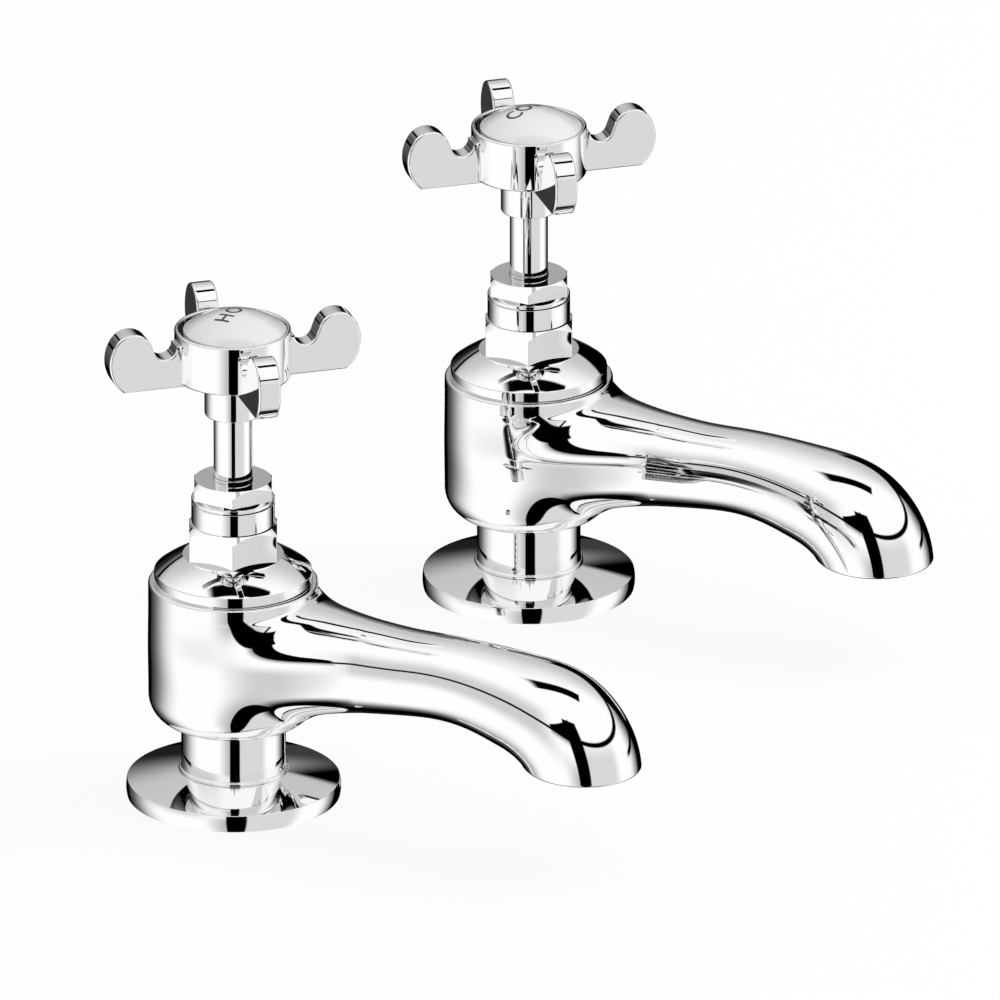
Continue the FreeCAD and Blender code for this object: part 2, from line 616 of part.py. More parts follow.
def make_jumper(side):
    """The plate that carries the tap washer, with its hexagonal guide."""
    body = new_body(side + "_jumper")
    turned(body, side + "_jumper_turned", [
        ("axis", "nut_z"), ("stud_r", "nut_z"), ("stud_r", "plate_z"), ("plate_r", "plate_z"),
        ("plate_r", "plate_top_z"), ("jumper_neck_r", "plate_top_z"),
        ("jumper_neck_r", "jumper_hex_z"), ("axis", "jumper_hex_z")])
    hexagon = polygon(body, side + "_jumper_hex", 6, "jumper_hex_r", "jumper_hex_z", 28.0)
    prism(body, side + "_jumper_hex_pad", hexagon, "jumper_hex_l")
    turned(body, side + "_jumper_hole", [
        ("axis", "jumper_hole_z"), ("screw_hole_r", "jumper_hole_z"),
        ("screw_hole_r", "jumper_top_z"), ("axis", "jumper_top_z")], "Groove")
    return body


def make_nut(side, name, corner, hole, low, height):
    """A hexagon nut with a plain hole."""
    body = new_body(side + "_" + name)
    hexagon = polygon(body, side + "_" + name + "_hex", 6, corner, low, 28.0)
    prism(body, side + "_" + name + "_pad", hexagon, height)
    top = name + "_top_z"
    turned(body, side + "_" + name + "_hole", [
        ("axis", low), (hole, low), (hole, top), ("axis", top)], "Groove")
    return body


def tangent_points(first, first_r, second, second_r):
    """Ends of the straight line that touches two circles on opposite sides."""
    gap = second - first
    turn = math.acos((first_r + second_r) / gap.Length)
    direction = math.atan2(gap.y, gap.x) - turn
    unit = V(math.cos(direction), math.sin(direction), 0)
    return first + unit * first_r, second - unit * second_r


def arm_sketch(body, name):
    """Side view of one arm: straight underside, round lobe and valley next to the hub."""
    sketch = new_sketch(body, name)
    lobe = V(size("lobe_x"), size("lobe_z"), 0)
    valley = V(size("valley_x"), size("valley_z"), 0)
    lobe_r = size("lobe_r")
    valley_r = size("valley_r")
    foot = V(size("arm_foot_r"), size("arm_z"), 0)
    reach = foot - lobe
    turn = math.acos(lobe_r / reach.Length)
    bearing = math.atan2(reach.y, reach.x) + turn
    flank = lobe + V(math.cos(bearing), math.sin(bearing), 0) * lobe_r
    valley_spot, lobe_spot = tangent_points(valley, valley_r, lobe, lobe_r)
    root_low = V(size("arm_root_r"), foot.y, 0)
    root_high = V(size("arm_root_r"), valley.y, 0)
    valley_end = V(valley.x - valley_r, valley.y, 0)

    def angle(point, centre):
        return math.atan2(point.y - centre.y, point.x - centre.x)

    lobe_circle = Part.Circle(lobe, V(0, 0, 1), lobe_r)
    valley_circle = Part.Circle(valley, V(0, 0, 1), valley_r)
    pieces = [
        Part.LineSegment(root_low, foot),
        Part.LineSegment(foot, flank),
        Part.ArcOfCircle(lobe_circle, angle(flank, lobe), angle(lobe_spot, lobe)),
        Part.LineSegment(lobe_spot, valley_spot),
        Part.ArcOfCircle(valley_circle, -math.pi, angle(valley_spot, valley)),
        Part.LineSegment(valley_end, root_high),
        Part.LineSegment(root_high, root_low),
    ]
    bottom, outer, lobe_arc, inner, valley_arc, top, root = [
        sketch.addGeometry(piece, False) for piece in pieces]
    joints = [(bottom, 2, outer, 1), (top, 2, root, 1), (root, 2, bottom, 1)]
    for joint in joints:
        sketch.addConstraint(Sketcher.Constraint("Coincident", *joint))
    smooth = [(outer, 2, lobe_arc, 1), (lobe_arc, 2, inner, 1), (inner, 2, valley_arc, 2)]
    for joint in smooth:
        sketch.addConstraint(Sketcher.Constraint("Tangent", *joint))
    sketch.addConstraint(Sketcher.Constraint("Coincident", valley_arc, 1, top, 1))
    for straight in (bottom, top):
        sketch.addConstraint(Sketcher.Constraint("Horizontal", straight))
    sketch.addConstraint(Sketcher.Constraint("Vertical", root))
    hold(sketch, "DistanceX", (-1, 1, bottom, 1), "arm_root_r")
    hold(sketch, "DistanceY", (-1, 1, bottom, 1), "arm_z")
    hold(sketch, "DistanceX", (-1, 1, bottom, 2), "arm_foot_r")
    hold(sketch, "DistanceX", (-1, 1, lobe_arc, 3), "lobe_x")
    hold(sketch, "DistanceY", (-1, 1, lobe_arc, 3), "lobe_z")
    hold(sketch, "Radius", (lobe_arc,), "lobe_r")
    hold(sketch, "DistanceX", (-1, 1, valley_arc, 3), "valley_x")
    hold(sketch, "DistanceY", (-1, 1, valley_arc, 3), "valley_z")
    hold(sketch, "Radius", (valley_arc,), "valley_r")
    hold(sketch, "DistanceY", (-1, 1, valley_arc, 1), "valley_z")
    return sketch


def make_handle(side):
    """Hub with its boss and four flat arms."""
    body = new_body(side + "_handle")
    sketch = arm_sketch(body, side + "_arm_outline")
    arm = body.newObject("PartDesign::Pad", side + "_arm")
    arm.Profile = sketch
    bind(arm, "Length", "arm_thickness")
    arm.Midplane = True
    document.recompute()
    edges = []
    for index, edge in enumerate(arm.Shape.Edges, 1):
        middle = edge.valueAt((edge.FirstParameter + edge.LastParameter) / 2)
        lies_outside = middle.x > size("arm_root_r") + size("lip")
        if lies_outside:
            edges.append("Edge%d" % index)
    rounding = body.newObject("PartDesign::Fillet", side + "_arm_rounding")
    rounding.Base = (arm, edges)
    bind(rounding, "Radius", "arm_edge")
    document.recompute()
    pattern = body.newObject("PartDesign::PolarPattern", side + "_arms")
    pattern.Originals = [arm, rounding]
    pattern.Axis = (plane_axis(body), [""])
    pattern.Angle = 360
    pattern.Occurrences = 4
    document.recompute()
    body.Tip = pattern
    turned(body, side + "_hub", [
        ("axis", "boss_z"), ("boss_lip_r", "boss_z", "lip"), ("boss_r", "boss_lip_z"),
        ("boss_r", "hub_z"), ("hub_low_r", "hub_z", "hub_round"), ("hub_r", "hub_low_z"),
        ("hub_r", "hub_high_z"), ("hub_high_r", "hub_top_z"), ("hub_inner_r", "hub_top_z"),
        ("hub_inner_r", "hub_floor_z"), ("axis", "hub_floor_z")])
    turned(body, side + "_index_recess", [
        ("axis", "drive_roof_z"), ("shank_hole_r", "drive_roof_z"),
        ("shank_hole_r", "head_seat_z"), ("head_hole_r", "head_seat_z"),
        ("head_hole_r", "hub_floor_z"), ("hub_inner_r", "hub_floor_z"),
        ("hub_inner_r", "hub_top_z"), ("axis", "hub_top_z")], "Groove")
    socket = polygon(body, side + "_socket", 4, "socket_corner_r", "boss_z", 0.0)
    prism(body, side + "_socket_pocket", socket, "socket_l", "Pocket", True)
    body.setExpression(".Placement.Rotation.Angle", "45 deg")
    return body


def plane_axis(body):
    """The upright origin axis of a body."""
    return [item for item in body.Origin.OriginFeatures if item.Role == "Z_Axis"][0]


def make_screw(side):
    """The screw that holds the handle on the spindle."""
    body = new_body(side + "_handle_screw")
    turned(body, side + "_screw_turned", [
        ("axis", "shank_z"), ("shank_r", "shank_z"), ("shank_r", "head_seat_z"),
        ("head_r", "head_seat_z"), ("head_r", "head_top_z"), ("axis", "head_top_z")])
    return body


def make_index(side):
    """The domed ceramic disc in the hub."""
    body = new_body(side + "_index")
    turned(body, side + "_index_turned", [
        ("axis", "dome_plug_z"), ("dome_plug_r", "dome_plug_z"), ("dome_plug_r", "dome_under_z"),
        ("dome_r", "dome_under_z"), ("dome_r", "dome_foot_z", "dome_arc"),
        ("axis", "dome_top_z")])
    return body


def make_tap(side):
    """All pieces of one tap, moved to its axis."""
    pieces = [
        make_casting(side),
        make_flange(side),
        make_ring(side, "base_gasket", "gasket_inner_r", "gasket_outer_r", "deck", "gasket_h"),
        make_cover(side),
        make_ring(side, "bonnet_seal", "barrel_thread_r", "bonnet_shoulder_r",
                  "barrel_top_z", "seal_top_z"),
        make_bonnet(side),
        make_gland(side),
        ring_object(side + "_gland_ring", "ring_centre_r", "ring_z"),
        make_spindle(side),
        make_ring(side, "stem_sleeve", "sleeve_hole_r", "sleeve_r", "collar_top_z", "boss_z"),
        make_jumper(side),
        make_ring(side, "tap_washer", "nut_hole_r", "washer_r", "jumper_floor_z", "plate_z"),
        make_nut(side, "washer_nut", "nut_r", "nut_hole_r", "nut_z", "nut_h"),
        make_handle(side),
        make_screw(side),
        make_index(side),
        ring_object(side + "_index_ring", "index_ring_r", "index_ring_z"),
    ]
    for piece in pieces:
        place(piece, side)
    return pieces


nodes = make_tap("hot") + make_tap("cold")
document.recompute()

problems = []
for obj in document.Objects:
    if "Invalid" in obj.State or "Error" in obj.State:
        problems.append("%s is in state %s" % (obj.Label, obj.State))
for node in nodes:
    if node.Shape.isNull() or not node.Shape.isValid() or len(node.Shape.Solids) != 1:
        problems.append("%s has no single valid solid" % node.Label)
if problems:
    raise RuntimeError("; ".join(problems))

for node in nodes:
    node.Shape.exportStep(os.path.join("parts", node.Label + ".step"))
    box = node.Shape.BoundBox
    print("%-24s volume %9.1f  z %7.2f to %7.2f" % (node.Label, node.Shape.Volume, box.ZMin, box.ZMax))
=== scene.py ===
"""A pair of chrome bath taps with crosshead handles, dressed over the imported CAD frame.

Shapes are worked out in millimetres in each tap's own frame: tap axis upright through
x = y = 0, deck at z = 0, spout along -Y. surface() and lettering() move them to the hot or
the cold tap, in metres.
"""
import math

import bmesh
import bpy
import numpy as np
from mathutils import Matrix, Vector


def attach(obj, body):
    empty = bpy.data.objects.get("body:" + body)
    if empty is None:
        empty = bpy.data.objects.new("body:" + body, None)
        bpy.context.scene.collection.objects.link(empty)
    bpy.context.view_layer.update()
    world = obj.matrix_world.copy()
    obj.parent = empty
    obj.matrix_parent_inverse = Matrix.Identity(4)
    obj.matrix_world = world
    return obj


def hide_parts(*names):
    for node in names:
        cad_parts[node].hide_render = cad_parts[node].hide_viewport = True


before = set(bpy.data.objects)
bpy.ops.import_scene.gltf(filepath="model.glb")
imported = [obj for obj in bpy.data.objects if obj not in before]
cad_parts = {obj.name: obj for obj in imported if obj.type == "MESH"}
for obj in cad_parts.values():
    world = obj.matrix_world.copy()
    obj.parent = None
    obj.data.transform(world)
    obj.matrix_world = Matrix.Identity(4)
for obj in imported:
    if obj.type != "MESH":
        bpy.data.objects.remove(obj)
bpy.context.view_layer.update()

MM = 0.001
TAP_X = {"hot": -81.0, "cold": 81.0}
# Corners in the same cell of this many millimetres become one vertex. The shift keeps round
# numbers off the edges of the cells.
WELD, WELD_SHIFT = 0.0005, 0.137

# Shader helpers


def new_material(name, color=(0.8, 0.8, 0.8), **values):
    """A node material with one Principled shader, constants set on its own sockets."""
    material = bpy.data.materials.new(name)
    material.use_nodes = True
    nodes, links = material.node_tree.nodes, material.node_tree.links
    shader = nodes["Principled BSDF"]
    shader.inputs["Base Color"].default_value = (*color, 1.0)
    for key, value in values.items():
        shader.inputs[key.replace("_", " ")].default_value = value
    return material, nodes, links, shader


def noise(nodes, links, vector, scale, detail, rough):
    """A noise texture on a vector socket."""
    node = nodes.new("ShaderNodeTexNoise")
    node.inputs["Scale"].default_value = scale
    node.inputs["Detail"].default_value = detail
    node.inputs["Roughness"].default_value = rough
    links.new(vector, node.inputs["Vector"])
    return node.outputs["Fac"]


def sum_up(nodes, links, kind, first, second, third=None):
    """One Math node. Plain numbers go on its own sockets."""
    node = nodes.new("ShaderNodeMath")
    node.operation = kind
    for socket, value in zip(node.inputs, (first, second, third)):
        if value is None:
            continue
        if isinstance(value, (int, float)):
            socket.default_value = value
        else:
            links.new(value, socket)
    return node.outputs[0]


def spread(nodes, links, value, low, high, start, stop):
    """Map Range from low..high to start..stop, with soft ends."""
    node = nodes.new("ShaderNodeMapRange")
    node.interpolation_type = "SMOOTHSTEP"
    node.inputs["From Min"].default_value = low
    node.inputs["From Max"].default_value = high
    node.inputs["To Min"].default_value = start
    node.inputs["To Max"].default_value = stop
    links.new(value, node.inputs["Value"])
    return node.outputs["Result"]


def make_polish():
    """Polish of a bright metal: cloudy roughness, faint wipe marks and lapping waves."""
    group = bpy.data.node_groups.new("polish", "ShaderNodeTree")
    nodes, links = group.nodes, group.links
    for label, way, kind in (("Vector", "INPUT", "Vector"), ("Roughness", "INPUT", "Float"),
                             ("Spread", "INPUT", "Float"), ("Wave", "INPUT", "Float"),
                             ("Roughness", "OUTPUT", "Float"), ("Normal", "OUTPUT", "Vector")):
        group.interface.new_socket(name=label, in_out=way, socket_type="NodeSocket" + kind)
    start, stop = nodes.new("NodeGroupInput"), nodes.new("NodeGroupOutput")
    vector = start.outputs["Vector"]
    cloud = noise(nodes, links, vector, 90.0, 3.0, 0.6)
    stretch = nodes.new("ShaderNodeMapping")
    stretch.inputs["Scale"].default_value = (900.0, 900.0, 90.0)
    links.new(vector, stretch.inputs["Vector"])
    wipes = noise(nodes, links, stretch.outputs["Vector"], 1.0, 2.0, 0.5)
    mixed = sum_up(nodes, links, "ADD", sum_up(nodes, links, "MULTIPLY", cloud, 0.6),
                   sum_up(nodes, links, "MULTIPLY", wipes, 0.4))
    lifted = spread(nodes, links, mixed, 0.35, 0.75, 0.0, 1.0)
    rough = sum_up(nodes, links, "MULTIPLY_ADD", lifted, start.outputs["Spread"],
                   start.outputs["Roughness"])
    links.new(rough, stop.inputs["Roughness"])
    wave = nodes.new("ShaderNodeBump")
    wave.inputs["Strength"].default_value = 1.0
    links.new(start.outputs["Wave"], wave.inputs["Distance"])
    links.new(noise(nodes, links, vector, 60.0, 1.0, 0.4), wave.inputs["Height"])
    links.new(wave.outputs["Normal"], stop.inputs["Normal"])
    return group


polish = make_polish()


def bright_metal(name, color, rough, extra, wave):
    """Polished or turned metal: one Principled metal with the polish group."""
    material, nodes, links, shader = new_material(name, color, Metallic=1.0)
    group = nodes.new("ShaderNodeGroup")
    group.node_tree = polish
    for label, value in (("Roughness", rough), ("Spread", extra), ("Wave", wave)):
        group.inputs[label].default_value = value
    where = nodes.new("ShaderNodeTexCoord").outputs["Object"]
    links.new(where, group.inputs["Vector"])
    links.new(group.outputs["Roughness"], shader.inputs["Roughness"])
    links.new(group.outputs["Normal"], shader.inputs["Normal"])
    return material


def mottle(nodes, links, shader, low, high, cloud, grain, bump):
    """Colour between two shades by the cloud noise, and bumps by the grain noise.

    Both noises are given as scale, detail and roughness.
    """
    where = nodes.new("ShaderNodeTexCoord").outputs["Object"]
    ramp = nodes.new("ShaderNodeValToRGB")
    ramp.color_ramp.elements[0].color = (*low, 1.0)
    ramp.color_ramp.elements[1].color = (*high, 1.0)
    links.new(noise(nodes, links, where, *cloud), ramp.inputs["Fac"])
    links.new(ramp.outputs["Color"], shader.inputs["Base Color"])
    lift = nodes.new("ShaderNodeBump")
    lift.inputs["Distance"].default_value = bump
    links.new(noise(nodes, links, where, *grain), lift.inputs["Height"])
    links.new(lift.outputs["Normal"], shader.inputs["Normal"])


def matt_stuff(name, low, high, grain, rough, bump):
    """Rubber, fibre or enamel: a mottled colour with a fine grain."""
    material, nodes, links, shader = new_material(name, Roughness=rough)
    mottle(nodes, links, shader, low, high, (grain, 4.0, 0.6), (grain * 3.0, 3.0, 0.6), bump)
    return material


def glazed():
    """White glaze: nearly even white, a little warmer where it pools, with a clear gloss."""
    material, nodes, links, shader = new_material(
        "white_glaze", Roughness=0.25, Coat_Weight=1.0, Coat_Roughness=0.03)
    mottle(nodes, links, shader, (0.86, 0.865, 0.86), (0.90, 0.90, 0.89),
           cloud=(220.0, 3.0, 0.55), grain=(160.0, 1.0, 0.4), bump=0.00001)
    return material


CHROME = bright_metal("polished_chrome", (0.93, 0.935, 0.94), rough=0.012, extra=0.03,
                      wave=0.000004)
BRASS = bright_metal("turned_brass", (0.78, 0.60, 0.30), rough=0.22, extra=0.12, wave=0.00002)
RUBBER = matt_stuff("black_rubber", (0.018, 0.018, 0.019), (0.035, 0.034, 0.033),
                    grain=700.0, rough=0.6, bump=0.00003)
FIBRE = matt_stuff("red_fibre", (0.30, 0.10, 0.07), (0.42, 0.17, 0.11),
                   grain=900.0, rough=0.8, bump=0.00004)
ENAMEL = matt_stuff("letter_enamel", (0.035, 0.04, 0.042), (0.07, 0.075, 0.075),
                    grain=900.0, rough=0.35, bump=0.000003)
GLAZE = glazed()

# Surfaces


def surface(name, patches, side, body, material, nodes, caps=()):
    """Quads of all patches in one mesh, a patch being points and normals on a grid.

    Corners that meet become one vertex, quads that shrink to a triangle at a pole drop the
    doubled corner, and every face corner keeps the normal of its own patch, so a smooth
    join stays smooth and an edge stays sharp. A cap is one flat face: its outline and its
    normal.
    """
    points = np.concatenate([p.reshape(-1, 3) for p, _ in patches] + [loop for loop, _ in caps])
    normals = np.concatenate([n.reshape(-1, 3) for _, n in patches])
    quads, base = [], 0
    for p, n in patches:
        rows, columns = p.shape[:2]
        index = base + np.arange(rows * columns).reshape(rows, columns)
        quad = np.stack([index[:-1, :-1], index[1:, :-1], index[1:, 1:], index[:-1, 1:]], -1)
        quad = quad.reshape(-1, 4)
        a, b, c, d = (points[quad[:, i]] for i in range(4))
        facing = np.cross(c - a, d - b)
        if np.sum(facing * normals[quad].sum(1)) < 0:
            quad = quad[:, ::-1]
        quads.append(quad)
        base += rows * columns
    quads = np.concatenate(quads)
    key = np.floor(points / WELD + WELD_SHIFT).astype(np.int64)
    _, first, inverse = np.unique(key, axis=0, return_index=True, return_inverse=True)
    inverse = inverse.reshape(-1)
    faces = inverse[quads]
    keep = faces != np.roll(faces, 1, axis=1)
    whole = keep.sum(1) >= 3
    quads, faces, keep = quads[whole], faces[whole], keep[whole]
    totals = keep.sum(1)
    corners, corner_normals = faces[keep], normals[quads[keep]]
    for loop, normal in caps:
        ring = inverse[base:base + len(loop)]
        base += len(loop)
        ring = ring[ring != np.roll(ring, 1)]
        spots = points[first[ring]]
        if np.cross(spots, np.roll(spots, -1, axis=0)).sum(0) @ normal < 0:
            ring = ring[::-1]
        totals = np.append(totals, len(ring))
        corners = np.concatenate([corners, ring])
        corner_normals = np.concatenate([corner_normals, np.repeat(normal[None], len(ring), 0)])
    mesh = bpy.data.meshes.new(name)
    mesh.vertices.add(len(first))
    placed = (points[first] + (TAP_X[side], 0.0, 0.0)) * MM
    mesh.vertices.foreach_set("co", placed.astype(np.float32).ravel())
    mesh.loops.add(len(corners))
    mesh.loops.foreach_set("vertex_index", corners.astype(np.int32))
    mesh.polygons.add(len(totals))
    starts = np.concatenate([[0], np.cumsum(totals)[:-1]])
    mesh.polygons.foreach_set("loop_start", starts.astype(np.int32))
    mesh.polygons.foreach_set("use_smooth", np.ones(len(totals), bool))
    mesh.update(calc_edges=True)
    mesh.validate()
    if len(mesh.loops) == len(corners):
        mesh.normals_split_custom_set(corner_normals.tolist())
    mesh.materials.append(material)
    piece = bpy.data.objects.new(name, mesh)
    bpy.context.scene.collection.objects.link(piece)
    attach(piece, body)
    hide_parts(*nodes)


def unit(vectors):
    """Vectors of length one."""
    return vectors / np.maximum(np.linalg.norm(vectors, axis=-1, keepdims=True), 1e-12)


def turn_by(vector, angle):
    """A flat vector turned anticlockwise."""
    c, s = math.cos(angle), math.sin(angle)
    return np.array([c * vector[0] - s * vector[1], s * vector[0] + c * vector[1]])


def profile(*steps):
    """Outline in the (radius, height) plane with the outside on the right of the travel.

    A step is (r, z), (r, z, corner) or (r, z, corner, bulge): corner is the radius of the
    rounding at that point, bulge the radius of the arc that leads to it, positive when it
    swells outwards. Gives a list of (points, normals), one for each straight or arc.
    """
    steps = [tuple(s) + (0.0,) * (4 - len(s)) for s in steps]
    spots = [np.array(s[:2], float) for s in steps]

    def directions(start, stop, bulge):
        along = unit(stop - start)
        if not bulge:
            return along, along
        half = math.asin(min(1.0, np.linalg.norm(stop - start) / 2 / abs(bulge)))
        half = math.copysign(half, bulge)
        return turn_by(along, -half), turn_by(along, half)

    def arc(start, stop, bulge):
        along = unit(stop - start)
        right = np.array([along[1], -along[0]])
        chord = np.linalg.norm(stop - start)
        rise = math.sqrt(max(0.0, bulge * bulge - chord * chord / 4))
        centre = (start + stop) / 2 - right * math.copysign(rise, bulge)
        half = math.asin(min(1.0, chord / 2 / abs(bulge)))
        count = max(4, math.ceil(math.degrees(half) * 2 / 5))
        share = np.linspace(-1.0, 1.0, count + 1)[:, None]
        out = right * math.copysign(1.0, bulge)
        normal = np.cos(share * half) * out + np.sin(share * half) * along
        points = centre + normal * abs(bulge)
        points[0], points[-1] = start, stop
        return points, normal * math.copysign(1.0, bulge)

    runs, here = [], spots[0]
    for i in range(1, len(steps)):
        there, corner = spots[i], steps[i][2]
        stop, rounding = there, None
        if corner and i + 1 < len(steps):
            _, arriving = directions(spots[i - 1], there, steps[i][3])
            leaving, _ = directions(there, spots[i + 1], steps[i + 1][3])
            cross = arriving[0] * leaving[1] - arriving[1] * leaving[0]
            turn = math.atan2(cross, float(arriving @ leaving))
            back = corner * math.tan(abs(turn) / 2)
            stop = there - arriving * back
            rounding = (stop, there + leaving * back, math.copysign(corner, turn))
        if steps[i][3]:
            runs.append(arc(here, stop, steps[i][3]))
        else:
            along = unit(stop - here)
            right = np.array([along[1], -along[0]])
            runs.append((np.array([here, stop]), np.array([right, right])))
        here = stop
        if rounding:
            runs.append(arc(*rounding))
            here = rounding[1]
    return runs


def around(run, angles):
    """A run of the profile carried round the tap axis: angle 0 points along -Y."""
    points, normals = run
    s, c = np.sin(angles)[None, :], np.cos(angles)[None, :]

    def swing(flat):
        r, z = flat[:, :1], flat[:, 1:]
        return np.stack([r * s, -r * c, z + 0 * s], -1)

    return swing(points), swing(normals)


CIRCLE = np.linspace(0.0, 2 * math.pi, 145)


def turned(runs, angles=CIRCLE):
    """All runs of a profile carried round the axis."""
    return [around(run, angles) for run in runs]


def spline(x, knots, values):
    """Natural cubic through the knots: pieces that agree in value, slope and curvature."""
    knots, values = np.array(knots, float), np.array(values, float)
    n = len(knots)
    gap = np.diff(knots)
    rise = np.diff(values) / gap
    system, target = np.eye(n), np.zeros(n)
    inner = np.arange(1, n - 1)
    system[inner, inner - 1] = gap[:-1]
    system[inner, inner] = 2 * (gap[:-1] + gap[1:])
    system[inner, inner + 1] = gap[1:]
    target[inner] = 6 * np.diff(rise)
    bend = np.linalg.solve(system, target)
    k = np.clip(np.searchsorted(knots, x, side="right") - 1, 0, n - 2)
    t, h = x - knots[k], gap[k]
    return (values[k] + t * (rise[k] - h * (2 * bend[k] + bend[k + 1]) / 6)
            + t * t * bend[k] / 2 + t ** 3 * (bend[k + 1] - bend[k]) / (6 * h))


def grid_normals(points):
    """Normals of a grid whose rows are rings, from the cross product of its two slopes."""
    padded = np.concatenate([points[:, -2:-1], points, points[:, 1:2]], 1)
    across = padded[:, 2:] - padded[:, :-2]
    return unit(np.cross(across, np.gradient(points, axis=0)))


# Casting

# Where the spout leaves the barrel: reach, height of its middle, half width and half height.
ROOT_REACH = (0.0, 6.0, 12.0, 17.0, 22.0, 27.0, 32.0, 40.0, 52.0, 62.0)
ROOT_MIDDLE = (41.0, 41.1, 41.2, 41.4, 41.6, 41.9, 42.2, 42.6, 43.1, 43.6)
ROOT_WIDE = (21.0, 20.9, 20.2, 19.1, 17.6, 15.9, 14.3, 12.3, 11.3, 11.1)
ROOT_TALL = (15.0, 15.0, 15.2, 15.2, 15.0, 14.3, 13.4, 12.3, 11.3, 11.1)
# The reach at which tilted round sections take over from the upright oval ones.
ROOT_END = 40.0
# The rest of the spout: reach, height, tilt in degrees and radius of its sections.
SPOUT = ((ROOT_END, 42.6, 0.0, 12.3), (51.9, 43.1, 0.0, 11.3), (62.0, 43.6, 1.0, 11.1),
         (72.5, 43.0, 7.0, 11.6), (82.0, 41.6, 18.0, 12.7), (93.1, 38.5, 38.0, 14.3),
         (101.62, 28.6, 74.0, 14.72), (102.49, 18.0, 90.0, 14.41))
# Barrel: its radius, the height and the rounding of its foot, and the start and the top of
# its rounded lip.
BARREL_R, BARREL_FOOT, BARREL_ROUND, LIP_Z, LIP_TOP = 21.9, 20.5, 7.5, 58.3, 58.9
# Width of the blend between barrel and spout, and the heights over which it fades.
BLEND, LIP_FADE, FOOT_FADE = 10.0, 4.0, 6.0
# Rays from this height on the axis find the barrel's surface.
EYE_Z = 41.0
# Outlet: its height, the rounding of its edge, the bore, the step in it and the waterway.
OUTLET_Z, OUTLET_EDGE, OUTLET_R, STEP_Z, WATER_R, WATER_TOP = 26.5, 0.7, 10.8, 31.5, 7.4, 35.0
# Radii of valve chamber, tail bore, foot and crest of the thread, neck and its bead.
CHAMBER_R, TAIL_BORE, THREAD_FOOT, THREAD_CREST = 9.55, 8.6, 12.6, 13.22
NECK_R, BEAD_R = 13.5, 14.2
# Heights: end of the tail, the thread's two ends, the bead and the chamber's floor.
TAIL_Z, THREAD_Z, BEAD_Z, CHAMBER_Z = -50.0, (-48.6, -2.6), (7.0, 7.9), 50.0
THREAD_PITCH = 1.81
# The window is the front of the barrel, out of which the spout grows, and the wall is the
# rest of it. Half the window's angle, and its cells along lip or foot and down each side.
WINDOW_HALF, ALONG, DOWN = math.radians(75), 56, 44
FRONT = np.linspace(-WINDOW_HALF, WINDOW_HALF, ALONG + 1)
REAR = np.linspace(WINDOW_HALF, 2 * math.pi - WINDOW_HALF, 89)
# Angles of a ring of the spout, one for each step along the window's edge: the top, one
# side, the underside and the other side.
RING_CORNER = math.radians(48)
RING_ANGLE = np.concatenate([
    np.linspace(-RING_CORNER, RING_CORNER, ALONG + 1)[:-1],
    np.linspace(RING_CORNER, math.pi - RING_CORNER, DOWN + 1)[:-1],
    np.linspace(math.pi - RING_CORNER, math.pi + RING_CORNER, ALONG + 1)[:-1],
    np.linspace(math.pi + RING_CORNER, 2 * math.pi - RING_CORNER, DOWN + 1)])


def ease(share):
    """Smooth step: 3 t^2 - 2 t^3 between 0 and 1."""
    share = np.clip(share, 0.0, 1.0)
    return share * share * (3 - 2 * share)


def casting_field(p):
    """Below zero inside barrel and spout.

    Barrel: distance to a cylinder with a rounded foot. Spout: first-order distance
    q (q - 1) / |slope of q^2 / 2| to an oval section, q being the length of the place in
    half widths and half heights. The two run together by the cubic smooth minimum
    min(a, b) - k h^3 / 6 with h = max(k - |a - b|, 0) / k, whose width k fades at the lip
    and at the foot.
    """
    x, y, z = p[..., 0], p[..., 1], p[..., 2]
    side = np.hypot(x, y) - (BARREL_R - BARREL_ROUND)
    foot = BARREL_FOOT + BARREL_ROUND - z
    barrel = (np.hypot(np.maximum(side, 0), np.maximum(foot, 0))
              + np.minimum(np.maximum(side, foot), 0) - BARREL_ROUND)
    reach = np.clip(-y, 0.0, ROOT_REACH[-1])
    wide, tall = spline(reach, ROOT_REACH, ROOT_WIDE), spline(reach, ROOT_REACH, ROOT_TALL)
    z_off, y_off = z - spline(reach, ROOT_REACH, ROOT_MIDDLE), np.maximum(y, 0)
    q = np.sqrt((x / wide) ** 2 + (z_off / tall) ** 2 + (y_off / tall) ** 2) + 1e-6
    slope = np.sqrt((x / wide ** 2) ** 2 + (z_off / tall ** 2) ** 2 + (y_off / tall ** 2) ** 2)
    spout = q * (q - 1) / (slope + 1e-9)
    width = BLEND * ease((z - BARREL_FOOT) / FOOT_FADE) * ease((LIP_Z - z) / LIP_FADE) + 1e-6
    near = np.maximum(width - np.abs(barrel - spout), 0) / width
    return np.minimum(barrel, spout) - near ** 3 * width / 6


def shoot(start, direction, low, high):
    """Points where rays leave the casting, by halving the interval 46 times."""
    low = np.full(direction.shape[:-1], float(low))
    high = np.full(direction.shape[:-1], float(high))
    for _ in range(46):
        middle = (low + high) / 2
        inside = casting_field(start + direction * middle[..., None]) < 0
        low, high = np.where(inside, middle, low), np.where(inside, high, middle)
    return start + direction * ((low + high) / 2)[..., None]


def field_normals(p):
    """Slope of the field by central differences."""
    step = 0.002
    slopes = []
    for axis in range(3):
        shift = np.zeros(3)
        shift[axis] = step
        slopes.append(casting_field(p + shift) - casting_field(p - shift))
    return unit(np.stack(slopes, -1))


